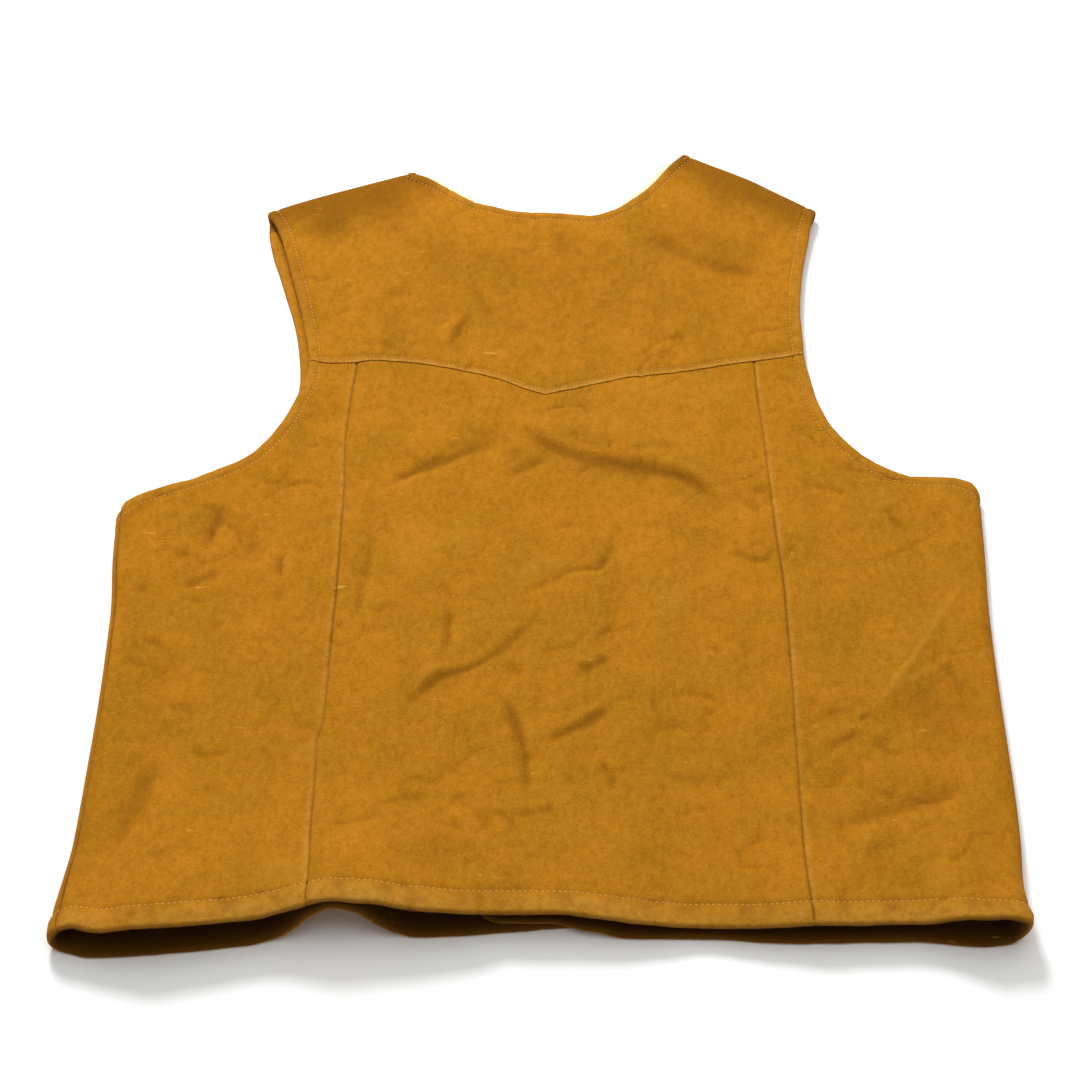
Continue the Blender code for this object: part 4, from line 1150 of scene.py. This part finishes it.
@dataclass
class Pattern:
    """Sizes that the cut pieces share."""

    step: float = 2.3
    front_step: float = 5.0
    angle_step: float = 14.0
    below: float = 336.0             # height from the hem to the underarm
    above: float = 134.0             # height from the underarm to the yoke
    front_above: float = 269.0       # height from the underarm to the shoulder
    back_underarm: float = 0.715     # share of a side back's height that lies below the underarm
    front_underarm: float = 0.555
    hem: float = 12.5                # from the fold to the stitches
    hem_depth: float = 15.0
    armhole: float = 6.0
    armhole_depth: float = 9.0
    neck: float = 5.5
    strip: float = 12.0              # width of the yoke on the front, past the shoulder fold

    def shares(self, step: float) -> Points:
        """Row shares from the hem to the underarm."""
        return spread(self.below, step, HEM_MARKS)

    def back_rows(self) -> Points:
        """Row shares of the back panels, hem to yoke."""
        upper = np.linspace(self.back_underarm, 1.0, round(self.above / self.step) + 1)[1:]
        return np.concatenate([self.shares(self.step) * self.back_underarm, upper])

    def seam_line(self, seam: Track, v: Points, offset: float) -> Points:
        """Plan points of a long seam at the rows' shares, moved sideways by the offset."""
        guess = seam.read((seam.keys[0], seam.keys[-1]))
        hem_y = BACK_HEM.read(guess[0])
        y = hem_y + (LIE.panel_top(guess[1]) - hem_y) * v
        return np.stack([seam.read(y) + offset, y], axis=-1)

    def roll_angles(self, start: float, flank: Flank) -> Points:
        """Angles of a net's columns round a side, from its flat end to half a gap short of the side seam."""
        way = math.copysign(1.0, flank.seam_angle - start)
        edge = flank.seam_angle - way * math.degrees(SEAM_GAP / 2 / 5.0)
        return np.linspace(start, edge, int(abs(edge - start) / self.angle_step) + 2)

    def roll_net(self, flank: Flank, angles: Points, hem_ends: tuple, shares: Points) -> Points:
        """Net of a rolled side.

        Args:
            flank: The side's sizes.
            angles: Angles of the columns round the roll.
            hem_ends: The hem's y at the top of the roll and at the surface.
            shares: Row shares from the hem to the underarm.

        Returns:
            The net.
        """
        back_y, front_y, out_y = (y - TURN_OUT for y in flank.underarm)
        turned = (90.0 - angles) / 180.0
        hem_y = hem_ends[0] + (hem_ends[1] - hem_ends[0]) * turned
        dip = out_y - (back_y + front_y) / 2
        top_y = back_y + (front_y - back_y) * turned + dip * np.sin(np.pi * turned)
        y = hem_y[None] + (top_y - hem_y)[None] * shares[:, None]
        across, up = np.cos(np.radians(angles))[None], np.sin(np.radians(angles))[None]
        middle = flank.roll.read(y, 2)
        reach = np.where(up >= 0, flank.roll.read(y, 4), flank.roll.read(y, 5))
        rise = np.where(up >= 0, flank.roll.read(y, 3) - middle, middle - HALF)
        x = flank.roll.read(y, 1) - flank.outward * reach * (1.0 - across)
        return np.stack([x, y, middle + rise * up], axis=-1)

    def outer_edge(self, flank: Flank, reach: int, hem_y: float, underarm_y: float, armhole: Track,
                   end_y: float, shares: Points, upper: Points) -> Points:
        """Plan points up the flat end of a rolled side and on along the armhole.

        Args:
            flank: The side's sizes.
            reach: Column of the roll's table with its reach on this face.
            hem_y: y of the hem at the side.
            underarm_y: y of the underarm.
            armhole: Net line of the armhole.
            end_y: y at which the edge ends.
            shares: Row shares from the hem to the underarm.
            upper: Row shares from the underarm to the end.

        Returns:
            The points.
        """
        y = hem_y + (underarm_y - hem_y) * shares
        below = np.stack([flank.roll.read(y, 1) - flank.outward * flank.roll.read(y, reach), y], axis=-1)
        y = underarm_y + (end_y - underarm_y) * upper
        above = np.stack([armhole.read(y, 0), y], axis=-1)
        return np.concatenate([below, above])

    def shoulder_normal(self, flank: Flank) -> Points:
        """Plan direction straight out over a shoulder fold."""
        run = np.subtract(flank.shoulder[-1], flank.shoulder[0])
        return np.array([-run[1], run[0]]) / np.linalg.norm(run)

    def shoulder_line(self, flank: Flank, shares: Points) -> Points:
        """Plan points along the top of a shoulder fold, inside the folds of its turned ends."""
        cut = TURN_OUT / np.linalg.norm(np.subtract(flank.shoulder[-1], flank.shoulder[0]))
        outermost = along(flank.shoulder, cut + (1 - 2 * cut) * shares)
        return outermost - self.shoulder_normal(flank) * LIE.shoulder_reach

    def strip_shift(self, flank: Flank, shares: Points, run: float) -> Points:
        """Plan shift from the top of a shoulder fold to a line of the strip on the front."""
        lean = flank.lean * (1.0 - shares if flank.outward < 0 else shares)
        inward = -self.shoulder_normal(flank)
        return np.stack([(inward[0] + lean) * run, np.full(len(shares), inward[1] * run)], axis=-1)

    def shoulder_seam(self, flank: Flank, shares: Points) -> Points:
        """Points of the front shoulder seam, on the front's side of it."""
        shares = np.atleast_1d(np.asarray(shares, float))
        return self.shoulder_line(flank, shares) + self.strip_shift(flank, shares, self.strip + SEAM_GAP)


PATTERN = Pattern()


def lay(plan: Points, height: Callable[[Points, Points], Points]) -> Points:
    """Give a plan net its heights."""
    return np.concatenate([plan, height(plan[..., 0], plan[..., 1])[..., None]], axis=-1)


def run_across(start: Points, end: Points, u: Points, height: Callable[[Points], Points]) -> Points:
    """Plan points from x of the start to x of the end, with y read from a curve."""
    x = start[0] + (end[0] - start[0]) * u
    return np.stack([x, height(x)], axis=-1)


def rolled_edges(flat: Points, roll: Points, face: tuple) -> tuple[Edge, Edge]:
    """Join the net round a side to the flat one that it goes on from.

    Args:
        flat: The flat net, from the hem up.
        roll: The net round the side, whose first column is moved to the flat net's last one.
        face: Where the outside of the leather faces.

    Returns:
        The hem and the armhole, each along both nets.
    """
    last = len(roll)
    roll[:, 0] = flat[:last, -1]
    low = np.concatenate([flat[:2], roll[:2, 1:]], axis=1)
    above = flat[:last - 1:-1]
    arm = Edge.of(np.concatenate([above[:, -1], roll[-1]]), np.concatenate([above[:, -2], roll[-2]]), face,
                  roll.shape[1])
    return Edge.of(low[0], low[1], face), arm


@dataclass
class BackCentre:
    """The middle back panel, between the long seams."""

    wardrobe: Wardrobe
    flat: tuple = (0.30, 0.47)
    area: float = 0.139
    width: float = 296.0

    def build(self) -> bpy.types.Object:
        """Build the panel and its stitches."""
        v = PATTERN.back_rows()
        left = PATTERN.seam_line(LEFT.seam, v, SEAM_GAP / 2)
        right = PATTERN.seam_line(RIGHT.seam, v, -SEAM_GAP / 2)
        u = spread(self.width, PATTERN.step, SEAM_MARKS, SEAM_MARKS)
        hem = run_across(left[0], right[0], u, BACK_HEM.read)
        top = run_across(left[-1], right[-1], u, LIE.panel_top)
        net = lay(coons(hem, top, left, right, u, v), LIE.back)
        fold = Edge.of(net[0], net[1], (0, 0, 1))
        piece = Sheet("centre_back_leather", "back_centre", self.wardrobe)
        piece.add(net)
        piece.add(fold.turned(PATTERN.hem_depth), turned=1.0)
        piece.close(Vector((0, 0, 1)))
        piece.bands = [hem_band(net[0]), seam_band(net[:, 0]), seam_band(net[:, -1])]
        piece.sew(LIE.relief)
        made = piece.finish(Finish.SUEDE, Finish.INSIDE, "suede")
        sew_rows("centre_back_stitches", made, [StitchRow(fold.inset(PATTERN.hem), fold.out)], self.wardrobe)
        return made


def hem_band(line: Points, worn: float = 0.65) -> Band:
    """The hem: a puffy turned edge with a row of stitches, rubbed pale along its fold, with painted shade on
    the strip turned inside.
    """
    return Band(line, stitched=PATTERN.hem, puff=1.1, groove=0.7, pucker=0.55, worn=worn, reach=9.0,
                dark=0.4, painted_turned_shade=0.95)


def seam_band(line: Points, worn: float = 0.1, fade: float = 0.0) -> Band:
    """A seam: two pressed edges that meet in a groove, with painted shade along it."""
    return Band(line, groove=1.2, width=1.1, worn=worn, reach=2.6, dark=1.05, fade=fade)


def armhole_band(line: Points, width: float) -> Band:
    """A turned and stitched edge round an armhole or the neck."""
    return Band(line, stitched=width, puff=0.5, groove=0.5, width=1.1, pucker=0.2, worn=0.28, reach=4.5,
                dark=0.4)


@dataclass
class BackSide:
    """A side back, from the long seam round the side to the side seam."""

    wardrobe: Wardrobe
    flank: Flank
    flat: tuple = (0.18, 0.47)
    area: float = 0.062
    width: float = 136.0             # of its flat part
    corner_y: float = 168.0          # about where the panel's top meets the armhole

    def build(self) -> bpy.types.Object:
        """Build the panel and its stitches."""
        flank, side = self.flank, "left" if self.flank.outward < 0 else "right"
        v, shares = PATTERN.back_rows(), PATTERN.shares(PATTERN.step)
        upper = np.linspace(0.0, 1.0, round(PATTERN.above / PATTERN.step) + 1)[1:]
        armhole = flank.drawn(flank.armhole)
        inner = PATTERN.seam_line(flank.seam, v, flank.outward * SEAM_GAP / 2)
        hem_y = float(BACK_HEM.read(flank.outward * math.inf))
        top_y = LIE.panel_top(float(armhole.read(self.corner_y, 0)))
        outer = PATTERN.outer_edge(flank, 4, hem_y, flank.underarm[0] - TURN_OUT, armhole, top_y, shares,
                                   upper)
        u = spread(self.width, PATTERN.step, SEAM_MARKS, ARMHOLE_MARKS)
        hem = run_across(inner[0], outer[0], u, BACK_HEM.read)
        top = run_across(inner[-1], outer[-1], u, LIE.panel_top)
        hem[0], hem[-1], top[0], top[-1] = inner[0], outer[0], inner[-1], outer[-1]
        flat = lay(coons(hem, top, inner, outer, u, v), LIE.back)
        front_y = float(flank.front_hem.read(flank.outward * math.inf))
        roll = PATTERN.roll_net(flank, PATTERN.roll_angles(90.0, flank), (hem_y, front_y), shares)
        fold, arm = rolled_edges(flat, roll, (0, 0, 1))
        piece = Sheet(f"side_back_{side}_leather", f"back_side_{side}", self.wardrobe)
        piece.add(flat)
        piece.add(roll)
        piece.add(fold.turned(PATTERN.hem_depth, slant=0.06), turned=1.0)
        piece.add(arm.turned(PATTERN.armhole_depth), turned=1.0)
        piece.close(Vector((0, 0, 1)))
        piece.bands = [hem_band(fold.points), seam_band(flat[:, 0], worn=0.8),
                       seam_band(roll[:, -1], fade=30.0), armhole_band(arm.points, PATTERN.armhole)]
        piece.sew(LIE.relief)
        made = piece.finish(Finish.SUEDE, Finish.INSIDE, "suede")
        rows = [StitchRow(fold.inset(PATTERN.hem), fold.out), StitchRow(arm.inset(PATTERN.armhole), arm.out)]
        sew_rows(f"side_back_{side}_stitches", made, rows, self.wardrobe)
        return made


@dataclass
class Front:
    """A front: on the surface, round the side to the side seam, and open down the middle."""

    wardrobe: Wardrobe
    flank: Flank
    flat: tuple = (0.34, 0.66)
    area: float = 0.17

    def build(self) -> bpy.types.Object:
        """Build the panel and its stitches."""
        flank, side = self.flank, "left" if self.flank.outward < 0 else "right"
        height = LIE.left_front if flank.outward < 0 else LIE.right_front
        shares = PATTERN.shares(PATTERN.front_step)
        upper = np.linspace(0.0, 1.0, round(PATTERN.front_above / PATTERN.front_step) + 1)[1:]
        v = np.concatenate([shares * PATTERN.front_underarm,
                            PATTERN.front_underarm + (1 - PATTERN.front_underarm) * upper])
        armhole = flank.drawn(flank.front_armhole)
        hem_y = float(flank.front_hem.read(flank.outward * math.inf))
        tip = PATTERN.shoulder_seam(flank, 0.0 if flank.outward < 0 else 1.0)[0]
        neck = PATTERN.shoulder_seam(flank, 1.0 if flank.outward < 0 else 0.0)[0]
        outer = PATTERN.outer_edge(flank, 5, hem_y, flank.underarm[1] - TURN_OUT, armhole, tip[1], shares,
                                   upper)
        outer = led_to(outer, tip)
        edge = flank.front_edge + flank.outward * TURN_OUT
        y = float(flank.front_hem.read(edge))
        y = y + (neck[1] - y) * v
        lean = np.clip((y - flank.front_break) / (neck[1] - flank.front_break), 0.0, 1.0)
        inner = np.stack([edge + (neck[0] - edge) * lean, y], axis=-1)
        near, far = flank.buckle
        total = abs(outer[0, 0] - inner[0, 0])
        beyond = spread(total - far, PATTERN.front_step, end=ARMHOLE_MARKS)[1:]
        u = np.concatenate([spread(near, PATTERN.front_step, ARMHOLE_MARKS[:4]) * near,
                            spread(far - near, PATTERN.step)[1:] * (far - near) + near,
                            beyond * (total - far) + far]) / total
        hem = run_across(inner[0], outer[0], u, flank.front_hem.read)
        top = PATTERN.shoulder_seam(flank, 1.0 - u if flank.outward < 0 else u)
        hem[0], hem[-1], top[0], top[-1] = inner[0], outer[0], inner[-1], outer[-1]
        flat = lay(coons(hem, top, inner, outer, u, v), height)
        back_y = float(BACK_HEM.read(flank.outward * math.inf))
        roll = PATTERN.roll_net(flank, PATTERN.roll_angles(-90.0, flank), (back_y, hem_y), shares)
        down = (0, 0, -1)
        fold, arm = rolled_edges(flat, roll, down)
        past_hem = flat[len(HEM_MARKS) - 1:]
        open_edge = Edge.of(past_hem[:, 0], past_hem[:, 1], down)
        piece = Sheet(f"front_{side}_leather", f"front_{side}", self.wardrobe)
        piece.add(flat)
        piece.add(roll)
        piece.add(fold.turned(PATTERN.hem_depth), turned=1.0)
        piece.add(arm.turned(PATTERN.armhole_depth), turned=1.0)
        piece.add(open_edge.turned(PATTERN.armhole_depth), turned=1.0)
        piece.close(Vector(down))
        piece.bands = [hem_band(fold.points, worn=0.1), seam_band(roll[:, -1], fade=30.0),
                       seam_band(flat[-1]), armhole_band(arm.points, PATTERN.armhole),
                       armhole_band(flat[:, 0], PATTERN.armhole)]
        piece.sew(LIE.front_relief, floor=HALF)
        made = piece.finish(Finish.SUEDE, Finish.INSIDE, "suede")
        rows = [StitchRow(fold.inset(PATTERN.hem), fold.out),
                *(StitchRow(edge.inset(PATTERN.armhole), edge.out) for edge in (arm, open_edge))]
        sew_rows(f"front_{side}_stitches", made, rows, self.wardrobe)
        return made


@dataclass
class Yoke:
    """The back yoke: pointed lower edge, neckline, and both shoulders rolled over to the front."""

    wardrobe: Wardrobe
    flat: tuple = (0.42, 0.30)
    area: float = 0.083
    height: float = 190.0            # from the lower edge to the top of the shoulders
    shoulders: tuple = (117.0, 119.0)  # lengths of the left and of the right one
    neck: float = 240.0              # length of the neckline
    stitches: tuple = (1.3, 4.0)     # distances of the lower edge's two rows from it

    def left_shares(self) -> Points:
        """Shares along the left shoulder, from the armhole to the neck."""
        return spread(self.shoulders[0], PATTERN.step, ARMHOLE_MARKS)

    def right_shares(self) -> Points:
        """Shares along the right shoulder, from the neck to the armhole."""
        return spread(self.shoulders[1], PATTERN.step, (0.0,), ARMHOLE_MARKS)

    def top(self) -> tuple[Points, int, int]:
        """The yoke's upper edge.

        Returns:
            Its plan points, the number of points on the left shoulder, and where the right shoulder starts.
        """
        left = PATTERN.shoulder_line(LEFT, self.left_shares())
        right = PATTERN.shoulder_line(RIGHT, self.right_shares())
        line = [tuple(left[-1]), *drawn_in(NECK, TURN_OUT), tuple(right[0])]
        neck = along(line, spread(self.neck, PATTERN.step))
        return np.concatenate([left, neck[1:-1], right]), len(left), len(left) + len(neck) - 2

    def shoulder_roll(self, flank: Flank, top_row: Points, shares: Points) -> Points:
        """Net of the yoke over one shoulder: round the fold and on to the front shoulder seam.

        Args:
            flank: The side's sizes.
            top_row: Points along the top of the fold.
            shares: Their shares of its length.

        Returns:
            The net.
        """
        out = PATTERN.shoulder_normal(flank)
        start = top_row[:, :2]
        rows = [top_row]
        for angle in np.radians(np.linspace(90.0, -90.0, 15)[1:]):
            rise = LIE.shoulder_top - LIE.shoulder_height if angle >= 0 else LIE.shoulder_height - HALF
            plan = start + out * LIE.shoulder_reach * math.cos(angle)
            level = np.full((len(plan), 1), LIE.shoulder_height + rise * math.sin(angle))
            rows.append(np.concatenate([plan, level], axis=1))
        for run in (3.0, 6.0, 8.5, 10.5, PATTERN.strip):
            plan = start + PATTERN.strip_shift(flank, shares, run)
            rows.append(np.concatenate([plan, np.full((len(plan), 1), HALF)], axis=1))
        return np.stack(rows)

    def build(self) -> bpy.types.Object:
        """Build the yoke and its stitches."""
        top, first, last = self.top()
        lengths = distances(top)
        u = lengths / lengths[-1]
        tip = int(np.argmin(np.abs(top[:, 0] - YOKE_POINT)))
        ends = YOKE_EDGE_LEFT.keys[0] + TURN_OUT, YOKE_EDGE_RIGHT.keys[-1] - TURN_OUT
        bottom_x = np.interp(u, (0.0, u[tip], 1.0), (ends[0], YOKE_POINT, ends[1]))
        bottom = np.stack([bottom_x, LIE.yoke_edge(bottom_x)], axis=-1)
        v = spread(self.height, PATTERN.step, YOKE_MARKS, ARMHOLE_MARKS)
        left_y = bottom[0, 1] + (top[0, 1] - bottom[0, 1]) * v
        right_y = bottom[-1, 1] + (top[-1, 1] - bottom[-1, 1]) * v
        left = np.stack([LEFT.drawn(LEFT.armhole).read(left_y, 0), left_y], axis=-1)
        right = np.stack([RIGHT.drawn(RIGHT.armhole).read(right_y, 0), right_y], axis=-1)
        left, right = led_to(left, top[0]), led_to(right, top[-1])
        bottom[0], bottom[-1] = left[0], right[0]
        net = lay(coons(bottom, top, left, right, u, v), LIE.yoke)
        left_roll = self.shoulder_roll(LEFT, net[-1, :first], self.left_shares())
        right_roll = self.shoulder_roll(RIGHT, net[-1, last:], self.right_shares())
        up, down = (0, 0, 1), (0, 0, -1)
        arms = [Edge.of(*(np.concatenate([net[:, i], roll[1:, i]]) for i in columns), up)
                for roll, columns in ((left_roll, (0, 1)), (right_roll, (-1, -2)))]
        neck = Edge.of(*(np.concatenate([left_roll[::-1, -1 - i], net[-1 - i, first:last], right_roll[:, i]])
                         for i in (0, 1)), down)
        piece = Sheet("yoke_leather", "back_yoke", self.wardrobe)
        piece.thinnest = 0.35
        # Creases reach halfway round the shoulder folds
        still = (np.arange(len(left_roll)) > 7).astype(float)
        piece.add(net)
        piece.add(left_roll, still=still)
        piece.add(right_roll, still=still)
        for edge in (*arms, neck):
            piece.add(edge.turned(PATTERN.armhole_depth), turned=1.0)
        piece.close(Vector(up))
        piece.bands = [Band(net[0], stitched=self.stitches[0], groove=0.15, width=0.7, dark=0.1, worn=1.0,
                            reach=2.4, skived=5.0),
                       Band(net[0], stitched=self.stitches[1], groove=0.3, width=0.8, dark=0.2, puff=0.15),
                       seam_band(left_roll[-1]), seam_band(right_roll[-1]),
                       *(armhole_band(edge.points, PATTERN.armhole) for edge in arms),
                       armhole_band(neck.points, PATTERN.neck)]
        piece.sew(LIE.relief, floor=HALF)
        made = piece.finish(Finish.SUEDE, Finish.INSIDE, "suede")
        lower = Edge.of(net[0], net[1], up)
        rows = [*(StitchRow(lower.inset(run), lower.out, pitch=2.9, length=2.1, width=0.65)
                  for run in self.stitches),
                *(StitchRow(edge.inset(PATTERN.armhole), edge.out) for edge in arms),
                StitchRow(neck.inset(PATTERN.neck), neck.out)]
        sew_rows("yoke_stitches", made, rows, self.wardrobe)
        return made


@dataclass
class NeckTape:
    """A pale tape under the neckline, which shows past it at a neck point."""

    wardrobe: Wardrobe
    side: str
    reach: tuple                     # its ends' x
    flat: tuple
    shows: float = 5.5
    tuck: float = 9.0

    def build(self) -> bpy.types.Object:
        """Build the tape."""
        line = along([tuple(PATTERN.shoulder_line(LEFT, np.ones(1))[0]), *NECK,
                      tuple(PATTERN.shoulder_line(RIGHT, np.zeros(1))[0])], np.linspace(0, 1, 161))
        line = line[(line[:, 0] >= self.reach[0]) & (line[:, 0] <= self.reach[1])]
        run = unit(np.gradient(line, axis=0))
        out = np.stack([-run[:, 1], run[:, 0]], axis=-1)
        drop = 2 * TURN_RADIUS + HALF + SEAM_GAP + TAPE / 2
        rows = []
        for distance in np.linspace(-self.tuck, self.shows, 7):
            plan = line + out * distance
            level = LIE.yoke(plan[:, 0], plan[:, 1]) - drop
            rows.append(np.concatenate([plan, level[:, None]], axis=1))
        node = f"neck_tape_{self.side}"
        piece = Sheet(f"{node}_cotton", node, self.wardrobe, thickness=TAPE)
        piece.add(np.stack(rows))
        piece.close(Vector((0, 0, 1)))
        piece.sew()
        made = piece.finish(Finish.TAPE, Finish.TAPE, "cotton", bevel=0.2)
        return made


@dataclass
class Studio:
    """The floor, the light and the camera."""

    floor: str = "#FBFBFA"
    tilt: float = 52.0               # how far the camera looks down, in degrees
    distance: float = 1.4276
    lens: float = 70.0
    sky: float = 0.3                 # strength of the light from all round
    half_width: float = 4.0          # of the floor
    drop: float = 0.0002             # of the floor below the vest

    def build(self) -> None:
        """Set everything up."""
        bm = bmesh.new()
        bmesh.ops.create_grid(bm, x_segments=1, y_segments=1, size=self.half_width,
                              matrix=Matrix.Translation((0, 0, -self.drop)))
        mesh = as_mesh(bm, "floor")
        floor = add_object("floor", mesh)
        # Matt white painted board: even and without shine
        paint, _, shader = new_material("matt_white_board")
        shader.inputs["Base Color"].default_value = linear(self.floor)
        shader.inputs["Roughness"].default_value = 0.9
        mesh.materials.append(paint)
        world = bpy.data.worlds.new("studio")
        world.use_nodes = True
        sky = world.node_tree.nodes["Background"]
        sky.inputs["Color"].default_value = (1.0, 0.99, 0.97, 1.0)
        sky.inputs["Strength"].default_value = self.sky
        bpy.context.scene.world = world
        self.lamp("key", (-0.5, 1.35, 1.7), 0.6, 40.0)
        self.lamp("overhead", (0.2, 0.1, 2.1), 2.4, 25.0)
        self.camera()
        bpy.context.scene.view_settings.view_transform = "Standard"

    def lamp(self, name: str, place: tuple, size: float, power: float) -> None:
        """Add a soft lamp that faces the vest."""
        light = bpy.data.lights.new(name, "AREA")
        light.shape = "DISK"
        light.size = size
        light.energy = power
        lamp = add_object(name, light)
        lamp.location = place
        lamp.rotation_euler = (-Vector(place)).to_track_quat("-Z", "Y").to_euler()

    def camera(self) -> None:
        """Add the camera at the photograph's angle."""
        data = bpy.data.cameras.new("camera")
        data.lens = self.lens
        data.sensor_width = 36.0
        camera = add_object("camera", data)
        tilt = math.radians(self.tilt)
        camera.location = (-CENTRE[0] * MM, -math.cos(tilt) * self.distance - CENTRE[1] * MM,
                           math.sin(tilt) * self.distance)
        camera.rotation_euler = (math.radians(90.0) - tilt, 0.0, 0.0)
        bpy.context.scene.camera = camera


@dataclass
class Vest:
    """The whole vest."""

    wardrobe: Wardrobe = field(default_factory=Wardrobe)

    def build(self) -> None:
        """Build every piece, from the table up."""
        for part in (Front(self.wardrobe, LEFT), Front(self.wardrobe, RIGHT), BackSide(self.wardrobe, LEFT),
                     BackSide(self.wardrobe, RIGHT), BackCentre(self.wardrobe), Yoke(self.wardrobe),
                     NeckTape(self.wardrobe, "left", (-92.0, -52.0), (0.0145, 0.049)),
                     NeckTape(self.wardrobe, "right", (66.0, 106.0), (0.0145, 0.063))):
            made = part.build()
            LOG.info("built %s", made.name)


def main() -> None:
    """Build the vest and the studio."""
    logging.basicConfig(level=logging.INFO, format="%(message)s")
    # Blender seeds its vector noise by the clock, and this seed makes the wrinkles the same on each run
    noise.seed_set(WRINKLE_SEED)
    Vest().build()
    Studio().build()
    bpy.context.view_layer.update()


if __name__ == "__main__":
    main()
